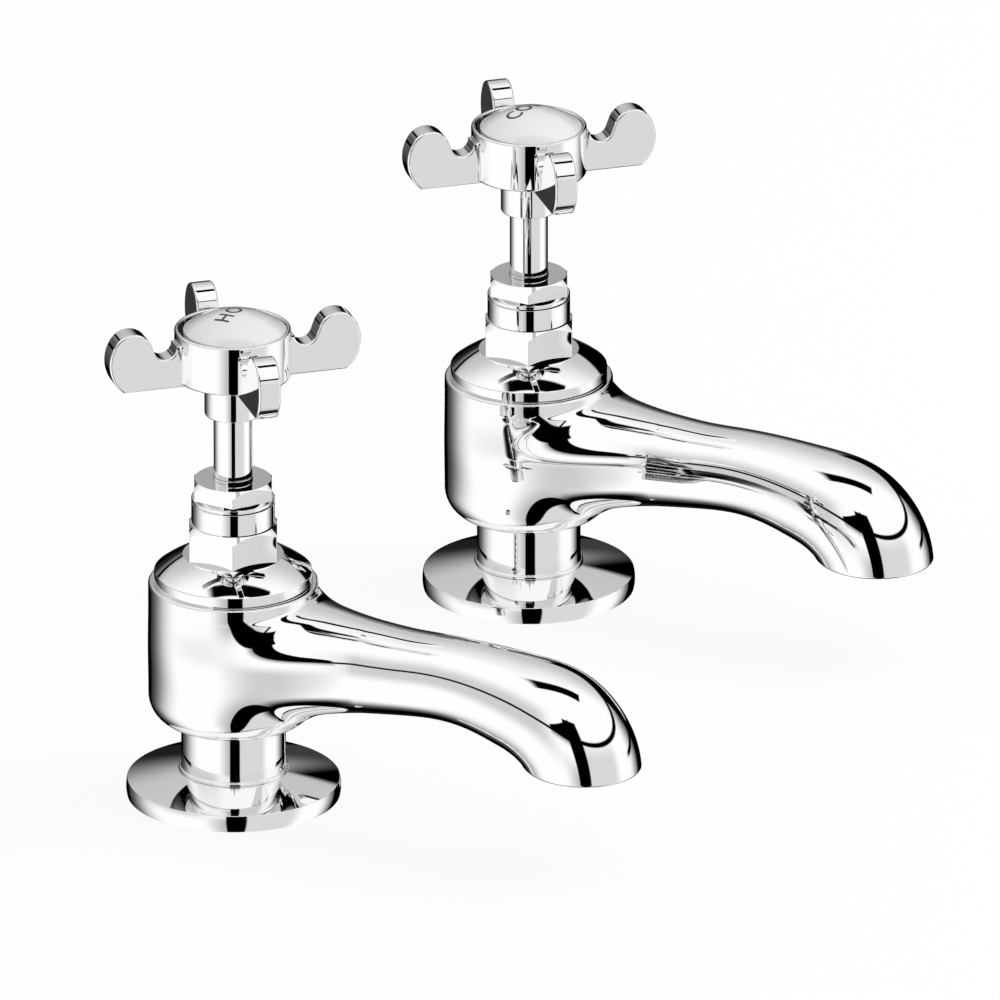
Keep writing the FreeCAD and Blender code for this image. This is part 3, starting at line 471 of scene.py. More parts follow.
def spout_sections(share, angle):
    """Point of the spout: a circle of the spline radius in a tilted plane on its middle line."""
    reach, height, tilt, radius = (np.array(column) for column in zip(*SPOUT))
    knots = np.concatenate([[0], np.cumsum(np.hypot(np.diff(reach), np.diff(height)))])
    t = share * knots[-1]
    y, z = -spline(t, knots, reach), spline(t, knots, height)
    lean, r = np.radians(spline(t, knots, tilt)), spline(t, knots, radius)
    up, out = np.cos(lean), np.sin(lean)
    return np.stack([r * np.sin(angle), y - r * np.cos(angle) * out,
                     z + r * np.cos(angle) * up], -1)


def root_rings():
    """Rings of the spout in upright planes, while the barrel still swells them."""
    stations = np.concatenate([[30.0, 30.7, 31.5, 32.4, 33.4], np.linspace(34.5, ROOT_END, 5)])
    y, turn = np.broadcast_arrays(-stations[:, None], RING_ANGLE[None, :])
    middle = spline(-y, ROOT_REACH, ROOT_MIDDLE)
    start = np.stack([0 * y, y, middle], -1)
    ray = np.stack([np.sin(turn), 0 * turn, np.cos(turn)], -1)
    return shoot(start, ray, 2.0, 40.0)


def barrel_patches(first):
    """Window between the spout's first ring and its own edge, and the wall behind it."""
    ceiling = math.atan((LIP_Z - EYE_Z) / BARREL_R)
    floor = math.atan((BARREL_FOOT - EYE_Z) / (BARREL_R - BARREL_ROUND))
    rise = np.linspace(ceiling, floor, DOWN + 1)
    # Edge of the window: along the lip, down one side, back along the foot and up.
    edge_angle = np.concatenate([FRONT, np.full(DOWN - 1, WINDOW_HALF), FRONT[::-1],
                                 np.full(DOWN - 1, -WINDOW_HALF), FRONT[:1]])
    edge_rise = np.concatenate([np.full(ALONG + 1, ceiling), rise[1:-1],
                                np.full(ALONG + 1, floor), rise[1:-1][::-1], [ceiling]])
    ring_side = np.arctan2(first[:, 0], -first[:, 1])
    ring_rise = np.arctan2(first[:, 2] - EYE_Z, np.hypot(first[:, 0], first[:, 1]))
    step = (np.linspace(0, 1, 41) ** 1.15)[:, None]

    def from_eye(theta, eps):
        ray = np.stack([np.cos(eps) * np.sin(theta), -np.cos(eps) * np.cos(theta),
                        np.sin(eps)], -1)
        return shoot(np.array([0.0, 0.0, EYE_Z]), ray, 3.0, 45.0)

    window = from_eye(ring_side * (1 - step) + edge_angle * step,
                      ring_rise * (1 - step) + edge_rise * step)
    window[0] = first
    wall = from_eye(*np.broadcast_arrays(REAR[None, :], rise[:, None]))
    return [(window, field_normals(window)), (wall, field_normals(wall))]


def spout_patch(root):
    """The root's rings and the rest of the spout, cut flat at the outlet.

    Each long line of the rest ends where it first sinks to the rounding of the outlet's
    edge, which it does beyond the straight part.
    """
    steps, straight = 240, 150
    shares = np.linspace(0.0, 1.0, steps + 1)[:, None]
    line = spout_sections(shares, RING_ANGLE[None, :])[..., 2]
    below = line < OUTLET_Z + OUTLET_EDGE
    below[:straight] = False
    last = np.argmax(below, axis=0)
    column = np.arange(len(RING_ANGLE))
    z0, z1 = line[last - 1, column], line[last, column]
    end = shares[last - 1, 0] + (z0 - OUTLET_Z - OUTLET_EDGE) / (z0 - z1) / steps
    rows = np.linspace(0, 1, 73)[:, None]
    rest = spout_sections(rows * end[None, :], RING_ANGLE[None, :])
    rest[-1, :, 2] = OUTLET_Z + OUTLET_EDGE
    whole = np.concatenate([root[:-1], rest])
    normals = grid_normals(whole)
    halfway = len(whole) // 2
    ring = whole[halfway]
    if np.sum(normals[halfway] * (ring - ring.mean(0))) < 0:
        normals = -normals
    share = ease((np.arange(len(root)) / (len(root) - 1)))[:, None, None]
    normals[:len(root)] = unit(field_normals(root) * (1 - share) + normals[:len(root)] * share)
    return whole, normals


def outlet_patches(rim, rim_normals):
    """Rounded edge of the outlet, its flat ring, the bore, the step in it and the waterway."""
    heart = np.array([0.0, -SPOUT[-1][0], OUTLET_Z])
    outward = unit((rim - heart) * (1, 1, 0))
    down = np.array([0.0, 0.0, -1.0])
    sweep = np.linspace(0, math.pi / 2, 6)[:, None, None]
    curl = (rim - outward * OUTLET_EDGE * (1 - np.cos(sweep))
            + down * OUTLET_EDGE * np.sin(sweep))
    curl_normal = outward * np.cos(sweep) + down * np.sin(sweep)
    curl_normal[0] = rim_normals
    mouth = np.stack([np.sin(RING_ANGLE), np.cos(RING_ANGLE), 0 * RING_ANGLE], -1)
    mouth[:, 1] *= -1

    def hoop(radius, z):
        return heart * (1, 1, 0) + mouth * radius + (0, 0, z)

    rings = [curl[-1], hoop(OUTLET_R, OUTLET_Z), hoop(OUTLET_R, STEP_Z), hoop(WATER_R, STEP_Z),
             hoop(WATER_R, WATER_TOP), hoop(0.0, WATER_TOP)]
    patches = [(curl, unit(curl_normal))]
    for a, b, normal in zip(rings, rings[1:], (down, -mouth, down, -mouth, down)):
        patches.append((np.stack([a, b]), np.broadcast_to(normal, (2, len(a), 3)).copy()))
    return patches


def casting_patches():
    """Barrel, spout and their blend, closed by the turned foot, lip and waterways."""
    root = root_rings()
    spout = spout_patch(root)
    patches = barrel_patches(root[0]) + [spout] + outlet_patches(spout[0][-1], spout[1][-1])
    lip = profile((BARREL_R, LIP_Z), (BARREL_R, LIP_TOP, 0.6), (CHAMBER_R, LIP_TOP),
                  (CHAMBER_R, CHAMBER_Z), (0.0, CHAMBER_Z))
    foot = profile((0.0, 0.0), (TAIL_BORE, 0.0), (TAIL_BORE, TAIL_Z, 0.4),
                   (THREAD_FOOT, TAIL_Z), (THREAD_FOOT, THREAD_Z[0]))
    neck = profile((THREAD_FOOT, THREAD_Z[1]), (THREAD_CREST, -2.0), (THREAD_CREST, 0.0),
                   (NECK_R, 0.0), (NECK_R, BEAD_Z[0], 0.3), (BEAD_R, BEAD_Z[0], 0.3),
                   (BEAD_R, BEAD_Z[1], 0.4), (NECK_R, BEAD_Z[1], 0.3),
                   (NECK_R, BARREL_FOOT, 0.5), (BARREL_R - BARREL_ROUND, BARREL_FOOT))
    # The turned parts share the angles of window and wall.
    angles = np.concatenate([FRONT, REAR[1:]])
    patches += turned(lip, angles) + turned(foot, angles) + turned(neck, angles)
    patches.append(thread(angles, THREAD_FOOT, THREAD_CREST, *THREAD_Z, THREAD_PITCH))
    return patches


def thread(angles, low, high, start, stop, pitch):
    """Pipe thread: the radius swings with height, one clipped wave for each pitch.

    The wave climbs by one pitch a turn. It fades in and out over one pitch at both ends,
    so the rows end in plain rings.
    """
    z = np.linspace(start, stop, int((stop - start) / pitch * 9) + 1)[:, None]
    turn = angles[None, :] / (2 * math.pi)
    fade = ease((z - start) / pitch) * ease((stop - z) / pitch)
    wave = np.clip(0.5 + 0.65 * np.cos(2 * math.pi * (z / pitch - turn)), 0, 1)
    r = low + (high - low) * fade * wave
    points = np.stack([r * np.sin(angles), -r * np.cos(angles), z + 0 * r], -1)
    normals = grid_normals(points)
    if np.sum(normals[..., :2] * points[..., :2]) < 0:
        normals = -normals
    return points, normals


# Nuts

# Both nuts: bearing of their first corner, rounding of the corners, and how far inside the
# flats the bevel ends.
HEX_TURN, HEX_ROUNDING, HEX_BEVEL = math.radians(118.0), 0.3, 0.12


def hexagon(corner, rounding, turn):
    """Hexagon with rounded corners: flat points and their outward normals, closed."""
    flats, normals = [], []
    inset = corner - rounding / math.cos(math.pi / 6)

    def centre(bearing):
        return inset * np.array([math.sin(bearing), -math.cos(bearing)])

    for k in range(6):
        bearing = turn + k * math.pi / 3
        swing = bearing + np.linspace(-math.pi / 6, math.pi / 6, 7)
        out = np.stack([np.sin(swing), -np.cos(swing)], -1)
        flats.append(centre(bearing) + rounding * out)
        normals.append(out)
        begin = centre(bearing) + rounding * out[-1]
        finish = centre(bearing + math.pi / 3) + rounding * out[-1]
        share = np.linspace(0, 1, 14)[1:-1, None]
        flats.append(begin * (1 - share) + finish * share)
        normals.append(np.repeat(out[-1:], len(share), 0))
    flats, normals = np.concatenate(flats), np.concatenate(normals)
    return np.concatenate([flats, flats[:1]]), np.concatenate([normals, normals[:1]])


def nut_patches(corner, low, high, hole):
    """Hexagon nut whose top is bevelled by a cone of 45 degrees.

    Side: the rounded hexagon from low to where the cone cuts it. Cone: from there to a
    circle just inside the flats. Top and base: rings in to the hole, whose wall joins them.
    """
    flat, out = hexagon(corner, HEX_ROUNDING, HEX_TURN)
    radius = np.hypot(flat[:, 0], flat[:, 1])
    touch = corner * math.cos(math.pi / 6) - HEX_BEVEL
    cut = high - (radius - touch)
    bearing = flat / radius[:, None]
    wall = np.stack([np.column_stack([flat, np.full(len(flat), low)]),
                     np.column_stack([flat, cut])])
    wall_normal = np.stack([np.column_stack([out, 0 * radius])] * 2)
    cone = np.stack([wall[1], np.column_stack([bearing * touch, np.full(len(flat), high)])])
    slope = unit(np.column_stack([bearing, np.ones(len(flat))]))
    top = np.stack([cone[1], np.column_stack([bearing * hole, np.full(len(flat), high)])])
    up = np.zeros_like(top)
    up[..., 2] = 1
    base = np.stack([np.column_stack([bearing * hole, np.full(len(flat), low)]), wall[0]])
    inner = np.stack([base[0], top[1]])
    inner_normal = np.stack([np.column_stack([-bearing, 0 * radius])] * 2)
    return [(wall, wall_normal), (cone, np.stack([slope, slope])), (top, up), (base, -up),
            (inner, inner_normal)]


# Handle

# Half an arm's thickness, and the rounding of its rim.
ARM_HALF, ARM_ROUNDING = 2.95, 0.6


def arm_outline():
    """Side view of one arm as (reach, height) points with outward normals, closed.

    Straight underside, bowed outer edge, round lobe, hollow valley and a short flat top
    that runs into the hub. The bow and the lobe touch inside each other, and lobe and
    valley are joined by their common inner tangent.
    """
    lobe, lobe_r = np.array([27.5, 125.3]), 5.36
    valley, valley_r = np.array([18.75, 125.9]), 3.05
    # Where the underside would meet the bow, the bow's radius, the rounding between the two,
    # the reach at which the arm starts inside the hub, and the height of the underside.
    foot, bow_r, heel_r, root, low = np.array([29.9, 114.9]), 10.0, 0.65, 12.8, 114.9
    gap = lobe - foot
    length = np.linalg.norm(gap)
    along = (bow_r ** 2 - (bow_r - lobe_r) ** 2 + length ** 2) / (2 * length)
    bow = foot + unit(gap) * along + turn_by(unit(gap), math.pi / 2) * math.sqrt(
        bow_r ** 2 - along ** 2)
    drop = bow[1] - low - heel_r
    heel = np.array([bow[0] + math.sqrt((bow_r - heel_r) ** 2 - drop ** 2), low + heel_r])
    between = valley - lobe
    lean = math.atan2(between[1], between[0]) - math.acos(
        (lobe_r + valley_r) / np.linalg.norm(between))
    pieces = []

    def straight(a, b, count):
        along = unit(b - a)
        share = np.linspace(0, 1, count)[:, None]
        normal = np.array([along[1], -along[0]])
        pieces.append((a * (1 - share) + b * share, np.repeat(normal[None], count, 0)))

    def arc(centre, radius, begin, finish, count, sign):
        swing = np.linspace(begin, finish, count)
        out = np.stack([np.cos(swing), np.sin(swing)], -1)
        pieces.append((centre + radius * out, out * sign))

    def bearing(place, centre):
        return math.atan2(place[1] - centre[1], place[0] - centre[0])

    straight(np.array([root, low]), heel - (0, heel_r), 16)
    arc(heel, heel_r, -math.pi / 2, bearing(heel, bow), 6, 1)
    arc(bow, bow_r, bearing(heel, bow), bearing(lobe, bow), 26, 1)
    arc(lobe, lobe_r, bearing(lobe, bow), lean, 48, 1)
    spot = np.array([math.cos(lean), math.sin(lean)])
    straight(lobe + lobe_r * spot, valley - valley_r * spot, 4)
    arc(valley, valley_r, lean + math.pi, math.pi, 28, -1)
    straight(valley - (valley_r, 0), np.array([root, valley[1]]), 4)
    straight(np.array([root, valley[1]]), np.array([root, low]), 10)
    return np.concatenate([p for p, _ in pieces]), np.concatenate([n for _, n in pieces])


def arm_patches(turn):
    """A flat arm of even thickness whose rim is rounded, turned about the tap axis.

    Rim: the outline inset by the rounding and swollen out again by it along a half round
    with a flat middle. Gives that patch and the two flat faces inside the inset outline.
    """
    outline, out = arm_outline()
    inset = outline - out * ARM_ROUNDING
    quarter = np.linspace(0, math.pi / 2, 6)
    bow = np.concatenate([np.cos(quarter)[::-1], np.cos(quarter)])
    core, swell = ARM_HALF - ARM_ROUNDING, ARM_ROUNDING * np.sin(quarter)
    lift = np.concatenate([-core - swell[::-1], core + swell])
    side = np.concatenate([-np.sin(quarter)[::-1], np.sin(quarter)])
    flat = inset[:, None, :] + out[:, None, :] * ARM_ROUNDING * bow[None, :, None]
    radial = np.array([math.sin(turn), -math.cos(turn), 0.0])
    across = np.array([math.cos(turn), math.sin(turn), 0.0])
    up = np.array([0.0, 0.0, 1.0])
    rim = flat[..., :1] * radial + lift[None, :, None] * across + flat[..., 1:] * up
    rim_normal = (out[:, None, :1] * bow[None, :, None] * radial
                  + out[:, None, 1:] * bow[None, :, None] * up + side[None, :, None] * across)
    return (rim, unit(rim_normal)), [(rim[:, 0], -across), (rim[:, -1], across)]


# Index and lettering

# The dome's edge: radius and height. Its rise above that, and the radius of its curve.
DOME_R, DOME_FOOT, DOME_RISE = 13.2, 128.2, 4.6
DOME_ARC = (DOME_R ** 2 + DOME_RISE ** 2) / (2 * DOME_RISE)
# The dome sits a little off the axis in its recess, towards the camera's right.
DOME_SHIFT = (0.235, -0.44)
# Letters: size, how much bolder than the font, width of the strips they are cut into so
# that they can bend, height over the glaze and, in metres, thickness of the coat.
LETTER_SIZE, LETTER_BOLD, LETTER_STRIP, LETTER_LIFT = 5.9, 0.07, 0.45, 0.012
LETTER_COAT = 0.00004


def lettering(side, word, spacing, lean, middle):
    """Plain word laid on the dome: every point takes the dome's height above its place."""
    text = bpy.data.curves.new(side + "_word", "FONT")
    text.body, text.size, text.align_x = word, LETTER_SIZE, "CENTER"
    text.space_character, text.offset = spacing, LETTER_BOLD
    text.resolution_u = 6
    holder = bpy.data.objects.new(side + "_word_flat", text)
    bpy.context.scene.collection.objects.link(holder)
    graph = bpy.context.evaluated_depsgraph_get()
    mesh = bpy.data.meshes.new_from_object(holder.evaluated_get(graph))
    bpy.data.objects.remove(holder)
    bpy.data.curves.remove(text)
    work = bmesh.new()
    work.from_mesh(mesh)
    bmesh.ops.remove_doubles(work, verts=work.verts, dist=0.001)
    for axis in (0, 1):
        for cut in np.arange(-8.0, 8.0, LETTER_STRIP):
            normal = Vector((0, 0, 0))
            normal[axis] = 1
            bmesh.ops.bisect_plane(work, geom=work.verts[:] + work.edges[:] + work.faces[:],
                                   plane_co=normal * float(cut), plane_no=normal)
    work.to_mesh(mesh)
    work.free()
    flat = np.empty(len(mesh.vertices) * 3, np.float32)
    mesh.vertices.foreach_get("co", flat)
    flat = flat.reshape(-1, 3).astype(float)
    x = flat[:, 0] - flat[:, 0].mean()
    y = flat[:, 1] - (flat[:, 1].max() + flat[:, 1].min()) / 2
    lean = math.radians(lean)
    x, y = (x * math.cos(lean) - y * math.sin(lean) + middle[0],
            x * math.sin(lean) + y * math.cos(lean) + middle[1])
    away = (x - DOME_SHIFT[0]) ** 2 + (y - DOME_SHIFT[1]) ** 2
    height = DOME_FOOT + DOME_RISE - DOME_ARC + np.sqrt(DOME_ARC ** 2 - away) + LETTER_LIFT
    placed = (np.stack([x, y, height], -1) + (TAP_X[side], 0, 0)) * MM
    mesh.vertices.foreach_set("co", placed.astype(np.float32).ravel())
    mesh.update()
    mesh.materials.clear()
    mesh.materials.append(ENAMEL)
    piece = bpy.data.objects.new(side + "_lettering", mesh)
    bpy.context.scene.collection.objects.link(piece)
    coat = piece.modifiers.new("coat", "SOLIDIFY")
    coat.thickness, coat.offset = LETTER_COAT, 0.0
    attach(piece, side + "_turn")


# All pieces

# Radius of bore and rim of flange and cover, and height of the foot and the rim's top.
FLANGE_BORE, FLANGE_R, FLANGE_RIM_Z = 13.55, 27.45, 4.4
COVER_BORE, COVER_R, COVER_Z, COVER_RIM_Z = 11.1, 20.4, 58.92, 61.75
# Bonnet: foot, top of the hexagon and end of its round part, with a groove near the end.
BONNET_R, BONNET_Z, BONNET_HEX_Z, BONNET_TOP = 10.75, 66.3, 75.0, 82.1
GROOVE_R, GROOVE_Z = 10.25, (80.78, 81.26)
# Gland nut on its plug, the collar over it, and the sleeve up to the hub.
PLUG_R, GLAND_Z, GLAND_TOP = 9.4, 82.9, 87.1
COLLAR_R, COLLAR_Z, SLEEVE_R, SLEEVE_BORE, SLEEVE_Z = 5.13, (87.15, 87.9), 4.97, 4.3, 87.98
# Hub: radii of boss, drum and recess, and heights of foot, drum, recess and top.
BOSS_R, HUB_R, RECESS_R = 7.3, 15.0, 13.95
HUB_Z, DRUM_Z, RECESS_Z, HUB_TOP = 104.9, 115.4, 125.1, 128.6

# Each step of a profile is radius, height, rounding and radius of the arc that leads to it.
casting = casting_patches()
flange = turned(profile(
    (FLANGE_BORE, 0.0), (FLANGE_R, 0.0), (FLANGE_R, FLANGE_RIM_Z, 0.25, 9.8),
    (BEAD_R, BEAD_Z[0], 0.0, 220.0), (FLANGE_BORE, BEAD_Z[0]), (FLANGE_BORE, 0.0)))
cover = turned(profile(
    (COVER_BORE, COVER_Z), (COVER_R, COVER_Z, 0.12), (COVER_R, COVER_RIM_Z, 0.5),
    (13.0, BONNET_Z, 0.0, 33.0), (COVER_BORE, BONNET_Z), (COVER_BORE, COVER_Z)))
bonnet = nut_patches(13.0, BONNET_Z, BONNET_HEX_Z, 10.0) + turned(profile(
    (0.0, 74.0), (BONNET_R, 74.0), (BONNET_R, GROOVE_Z[0], 0.12), (GROOVE_R, GROOVE_Z[0]),
    (GROOVE_R, GROOVE_Z[1]), (BONNET_R, GROOVE_Z[1], 0.12), (BONNET_R, BONNET_TOP, 0.3),
    (0.0, BONNET_TOP)))
gland = nut_patches(11.5, GLAND_Z, GLAND_TOP, 5.2) + turned(profile(
    (0.0, 81.8), (PLUG_R, 81.8), (PLUG_R, GLAND_Z), (8.8, GLAND_Z), (8.8, 83.9), (0.0, 83.9)))
sleeve = turned(profile(
    (SLEEVE_BORE, SLEEVE_Z), (SLEEVE_R, SLEEVE_Z, 0.12), (SLEEVE_R, HUB_Z), (SLEEVE_BORE, HUB_Z),
    (SLEEVE_BORE, SLEEVE_Z))) + turned(profile(
        (4.9, COLLAR_Z[0]), (COLLAR_R, COLLAR_Z[0]), (COLLAR_R, COLLAR_Z[1], 0.1),
        (4.9, COLLAR_Z[1]), (4.9, COLLAR_Z[0])))
hub = turned(profile(
    (0.0, HUB_Z), (BOSS_R, HUB_Z, 0.6), (BOSS_R, DRUM_Z, 0.4), (HUB_R, DRUM_Z, 0.9),
    (HUB_R, HUB_TOP, 0.55), (RECESS_R, HUB_TOP, 0.35), (RECESS_R, RECESS_Z), (0.0, RECESS_Z)))
arms = [arm_patches(math.radians(45 + 90 * k)) for k in range(4)]
handle = hub + [rim for rim, _ in arms]
cheeks = [cheek for _, pair in arms for cheek in pair]
dome = [(points + (*DOME_SHIFT, 0.0), normals) for points, normals in turned(profile(
    (0.0, 127.0), (DOME_R, 127.0, 0.3), (DOME_R, DOME_FOOT, 0.25),
    (0.0, DOME_FOOT + DOME_RISE, 0.0, DOME_ARC)))]

for side in TAP_X:
    turn = side + "_turn"
    surface(side + "_casting", casting, side, "fixed", CHROME, [side + "_body"])
    surface(side + "_deck_flange", flange, side, "fixed", CHROME, [side + "_flange"])
    surface(side + "_domed_cover", cover, side, "fixed", CHROME,
            [side + "_cover_plate"])
    surface(side + "_valve_bonnet", bonnet, side, "fixed", CHROME, [side + "_bonnet"])
    surface(side + "_packing_nut", gland, side, "fixed", CHROME, [side + "_gland_nut"])
    surface(side + "_sleeve", sleeve, side, turn, CHROME, [side + "_stem_sleeve"])
    surface(side + "_crosshead", handle, side, turn, CHROME, [side + "_handle"],
            cheeks)
    surface(side + "_dome", dome, side, turn, GLAZE, [side + "_index"])
lettering("hot", "HOT", 1.22, 0.0, (1.5, 0.6))
lettering("cold", "COLD", 1.06, -6.0, (1.7, 1.8))

NODE_FINISH = {
    "body": CHROME, "flange": CHROME, "base_gasket": RUBBER, "cover_plate": CHROME,
    "bonnet_seal": FIBRE, "bonnet": CHROME, "gland_nut": CHROME, "gland_ring": RUBBER,
    "spindle": BRASS, "stem_sleeve": CHROME, "jumper": BRASS, "tap_washer": RUBBER,
    "washer_nut": BRASS, "handle": CHROME, "handle_screw": BRASS, "index": GLAZE,
    "index_ring": RUBBER}
for name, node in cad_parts.items():
    node.data.materials.clear()
    node.data.materials.append(NODE_FINISH[name.split("_", 1)[1]])

# Stage, light and camera

# Bearing and rise of the camera, its distance in metres, and the scale and side length of
# the picture.
VIEW_TURN, VIEW_RISE, VIEW_AWAY = math.radians(-62.0), math.radians(21.8), 12.0
PIXELS_PER_METRE, PICTURE = 3870.0, 1000.0
toward = Vector((math.sin(VIEW_TURN) * math.cos(VIEW_RISE),
                 -math.cos(VIEW_TURN) * math.cos(VIEW_RISE), math.sin(VIEW_RISE)))
right = Vector((math.cos(VIEW_TURN), math.sin(VIEW_TURN), 0.0))
up = toward.cross(right)
# The anchor, a point halfway between the taps, shows at this pixel.
anchor, anchor_px = Vector((0.0, 0.0, 0.065)), (381.8, 454.65)
target = (anchor - right * ((anchor_px[0] - PICTURE / 2) / PIXELS_PER_METRE)
          - up * ((PICTURE / 2 - anchor_px[1]) / PIXELS_PER_METRE))
lens = bpy.data.cameras.new("camera")
lens.sensor_width = 36.0
lens.lens = PIXELS_PER_METRE * VIEW_AWAY * lens.sensor_width / PICTURE
lens.clip_start, lens.clip_end = 0.01, 60.0
camera = bpy.data.objects.new("camera", lens)
camera.location = target + toward * VIEW_AWAY
camera.rotation_mode = "QUATERNION"
camera.rotation_quaternion = (-toward).to_track_quat("-Z", "Y")
bpy.context.scene.collection.objects.link(camera)
bpy.context.scene.camera = camera

# Half the deck's side in metres, its paint, the strength of its glow and the glow's share.
DECK_HALF, DECK_PAINT, DECK_GLOW, DECK_GLOW_SHARE = 4.0, 0.9, 1.02, 0.85


def lay_deck():
    """A white sheet that glows to the camera, so that it shows no edge or shadow.

    For light that bounces it is pale matt paint, and the metal doesn't mirror it.
    """
    deck_mesh = bpy.data.meshes.new("deck")
    deck_mesh.from_pydata([(-DECK_HALF, -DECK_HALF, 0), (DECK_HALF, -DECK_HALF, 0),
                           (DECK_HALF, DECK_HALF, 0), (-DECK_HALF, DECK_HALF, 0)],
                          [], [(0, 1, 2, 3)])
    deck = bpy.data.objects.new("deck", deck_mesh)
    bpy.context.scene.collection.objects.link(deck)
    deck.visible_glossy = False
    deck_paint = bpy.data.materials.new("deck_paint")
    deck_paint.use_nodes = True
    nodes, links = deck_paint.node_tree.nodes, deck_paint.node_tree.links
    nodes.clear()
    paint = nodes.new("ShaderNodeBsdfDiffuse")
    paint.inputs["Color"].default_value = (DECK_PAINT, DECK_PAINT, DECK_PAINT, 1)
    glow = nodes.new("ShaderNodeEmission")
    glow.inputs["Strength"].default_value = DECK_GLOW
    ways = nodes.new("ShaderNodeLightPath")
    straight_rays = sum_up(nodes, links, "ADD", ways.outputs["Is Camera Ray"],
                           ways.outputs["Is Transmission Ray"])
    seen = sum_up(nodes, links, "MINIMUM", straight_rays, 1.0)
    blend = nodes.new("ShaderNodeMixShader")
    links.new(sum_up(nodes, links, "MULTIPLY", seen, DECK_GLOW_SHARE), blend.inputs["Fac"])
    links.new(paint.outputs[0], blend.inputs[1])
    links.new(glow.outputs[0], blend.inputs[2])
    out = nodes.new("ShaderNodeOutputMaterial")
    links.new(blend.outputs[0], out.inputs["Surface"])
    deck_mesh.materials.append(deck_paint)


lay_deck()

# Strength of the tent's white in the metal, and of the light on matt surfaces.
TENT_WHITE, ROOM_GREY = 1.06, 0.72


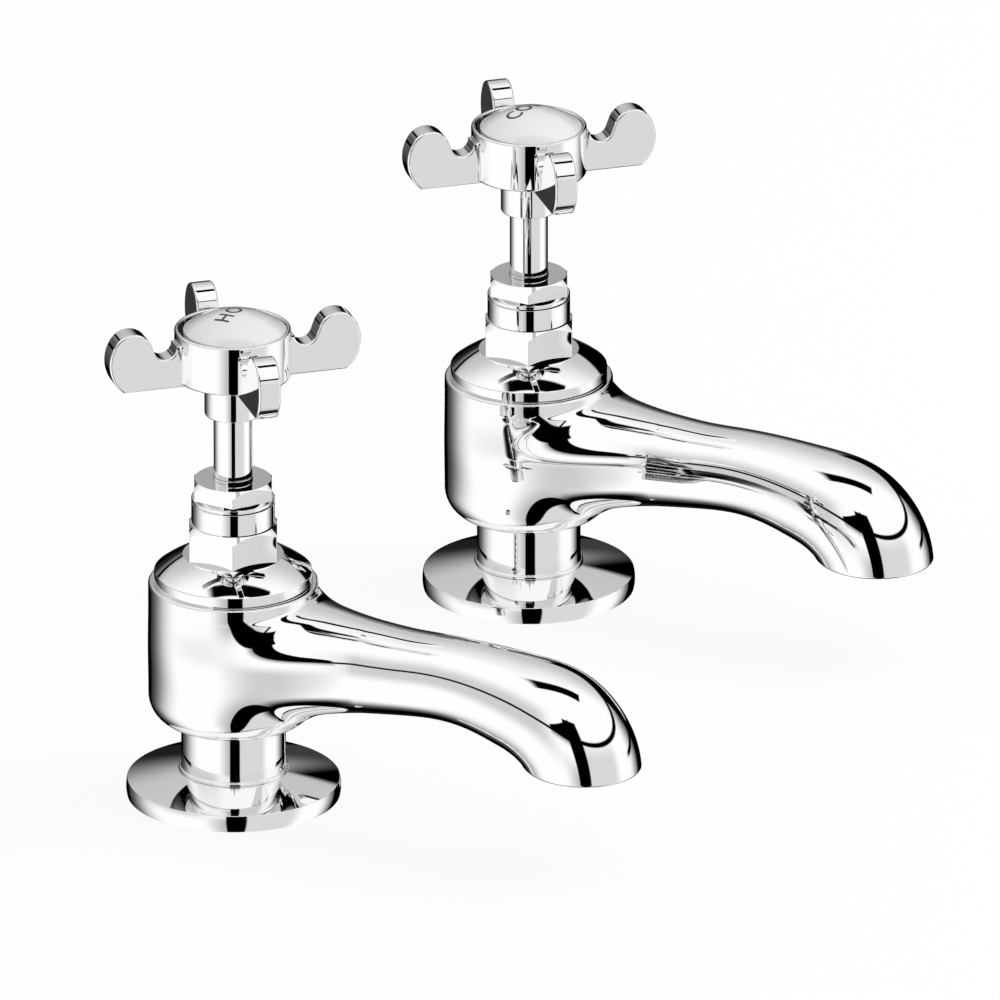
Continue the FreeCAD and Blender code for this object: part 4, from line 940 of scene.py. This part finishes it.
def studio():
    """White tent with dark gaps, by the direction of a ray.

    turn is the bearing from the camera's side, positive to the right, rise the height above
    the horizon, both in degrees. Rays from the camera see plain white, those that light matt
    surfaces a plain pale grey, and mirror rays the tent with its gaps.
    """
    world = bpy.data.worlds.new("studio")
    bpy.context.scene.world = world
    world.use_nodes = True
    nodes, links = world.node_tree.nodes, world.node_tree.links
    nodes.clear()
    where = nodes.new("ShaderNodeTexCoord").outputs["Generated"]
    facing = Vector((toward.x, toward.y, 0)).normalized()

    def dot(direction):
        node = nodes.new("ShaderNodeVectorMath")
        node.operation = "DOT_PRODUCT"
        links.new(where, node.inputs[0])
        node.inputs[1].default_value = direction
        return node.outputs["Value"]

    def join(kind, first, second, third=None):
        return sum_up(nodes, links, kind, first, second, third)

    def step(value, low, high, start=0.0, stop=1.0):
        return spread(nodes, links, value, low, high, start, stop)

    def between(value, low, high, soft_low, soft_high):
        rising = step(value, low - soft_low, low)
        falling = step(value, high, high + soft_high, 1.0, 0.0)
        return join("MULTIPLY", rising, falling)

    def both(first, second):
        return join("MULTIPLY", first, second)

    def either(first, second):
        return join("MAXIMUM", first, second)

    def shade(mask, amount):
        """One less the amount where the mask is one."""
        return join("MULTIPLY_ADD", mask, -amount, 1.0)

    ahead, aside, height = dot(facing), dot(right), dot((0.0, 0.0, 1.0))
    degrees = 180 / math.pi
    turn = join("MULTIPLY", join("ARCTAN2", aside, ahead), degrees)
    rise = join("MULTIPLY", join("ARCSINE", height, 0.0), degrees)
    wide = join("ABSOLUTE", turn, 0.0)
    # Limits beyond every rise and every turn.
    bottom, behind = -200.0, 200.0

    # A slot in front, which ends at 41 degrees and shows again as a flap overhead.
    above = join("MAXIMUM", height, 0.0)
    slot = both(between(turn, -7.0, 13.0, 1.5, 3.0), step(rise, 40.5, 42.0, 1.0, 0.0))
    flap = both(both(step(join("MULTIPLY_ADD", above, 0.10, aside), -0.276, -0.156),
                     step(join("MULTIPLY_ADD", above, -0.15, aside), 0.326, 0.346, 1.0, 0.0)),
                between(ahead, -0.08, 0.11, 0.05, 0.03))
    # A wedge leans from the slot down to the thin gap on the left.
    wedge = both(between(turn, -28.0, 2.0, 2.0, 2.0),
                 both(step(rise, 10.0, 21.0),
                      step(join("MULTIPLY_ADD", turn, -0.6, rise), 40.5, 42.0, 1.0, 0.0)))
    gap_front = either(either(slot, flap), wedge)
    # Thin level gaps on both sides, upright edges at the back below them, a thin line at the
    # horizon behind, and the dark ground.
    gap_left = both(between(rise, 18.0, 20.5, 1.5, 1.5), between(turn, -165.0, 0.0, 5.0, 5.0))
    gap_right = both(between(rise, 21.0, 24.0, 1.5, 1.5), between(turn, 10.0, 165.0, 5.0, 5.0))
    edge_left = both(between(turn, -171.0, -151.0, 3.0, 4.0), between(rise, bottom, 0.0, 1.0, 3.0))
    edge_right = both(between(turn, 136.0, 171.0, 4.0, 3.0), between(rise, bottom, 24.0, 1.0, 3.0))
    horizon = both(between(rise, -1.5, 1.5, 1.0, 1.0), between(wide, 110.0, behind, 10.0, 1.0))
    nadir = between(rise, bottom, -80.0, 1.0, 18.0)
    dark = either(either(either(gap_front, gap_left), either(gap_right, edge_left)),
                  either(either(edge_right, horizon), nadir))
    # Greys of the tent: its lower part falls off towards the back and has a grey panel on the
    # right. The far back is darker, less so towards the zenith. Below the horizon the tent
    # darkens from the left up to the slot, and a grey band runs behind the thin gap on the left.
    left = step(turn, -165.0, -80.0, 0.15, 1.0)
    back = both(both(left, left), step(turn, 100.0, 140.0, 1.0, 0.08))
    panel = shade(between(turn, 16.0, 62.0, 2.0, 20.0), 0.31)
    upper = step(rise, 8.0, 30.0)
    wall = both(back, panel)
    tone = join("MULTIPLY_ADD", join("SUBTRACT", 1.0, wall), upper, wall)
    far = shade(both(between(wide, 150.0, behind, 45.0, 1.0), step(rise, 30.0, 88.0, 1.0, 0.0)),
                0.45)
    ramp = shade(both(step(turn, -36.0, -6.0),
                      both(step(turn, -7.0, -6.0, 1.0, 0.0), step(rise, -14.0, 8.0, 1.0, 0.0))),
                 0.5)
    band = shade(both(between(turn, -80.0, -48.0, 40.0, 28.0),
                      between(rise, 6.0, 26.0, 24.0, 26.0)), 0.38)
    tent = both(both(both(tone, far), both(ramp, band)), join("SUBTRACT", 1.0, dark))
    ways = nodes.new("ShaderNodeLightPath")
    mirrored = join("SUBTRACT", both(tent, TENT_WHITE), ROOM_GREY)
    strength = join("MULTIPLY_ADD", ways.outputs["Is Glossy Ray"], mirrored, ROOM_GREY)
    strength = either(strength, ways.outputs["Is Camera Ray"])
    light = nodes.new("ShaderNodeBackground")
    light.inputs["Color"].default_value = (1, 1, 1, 1)
    links.new(strength, light.inputs["Strength"])
    links.new(light.outputs[0], nodes.new("ShaderNodeOutputWorld").inputs["Surface"])


studio()


def soft_lamp(name, place, size, power):
    """A square area lamp that faces the handles and isn't seen in the metal."""
    data = bpy.data.lights.new(name, "AREA")
    data.shape, data.size, data.energy = "SQUARE", size, power
    lamp = bpy.data.objects.new(name, data)
    lamp.location = place
    lamp.rotation_mode = "QUATERNION"
    lamp.rotation_quaternion = (Vector((0, 0, 0.1)) - Vector(place)).to_track_quat("-Z", "Y")
    bpy.context.scene.collection.objects.link(lamp)
    lamp.visible_glossy = False


soft_lamp("key", (0.6, -0.9, 1.4), 0.9, 9.0)
bpy.context.scene.view_settings.view_transform = "Standard"
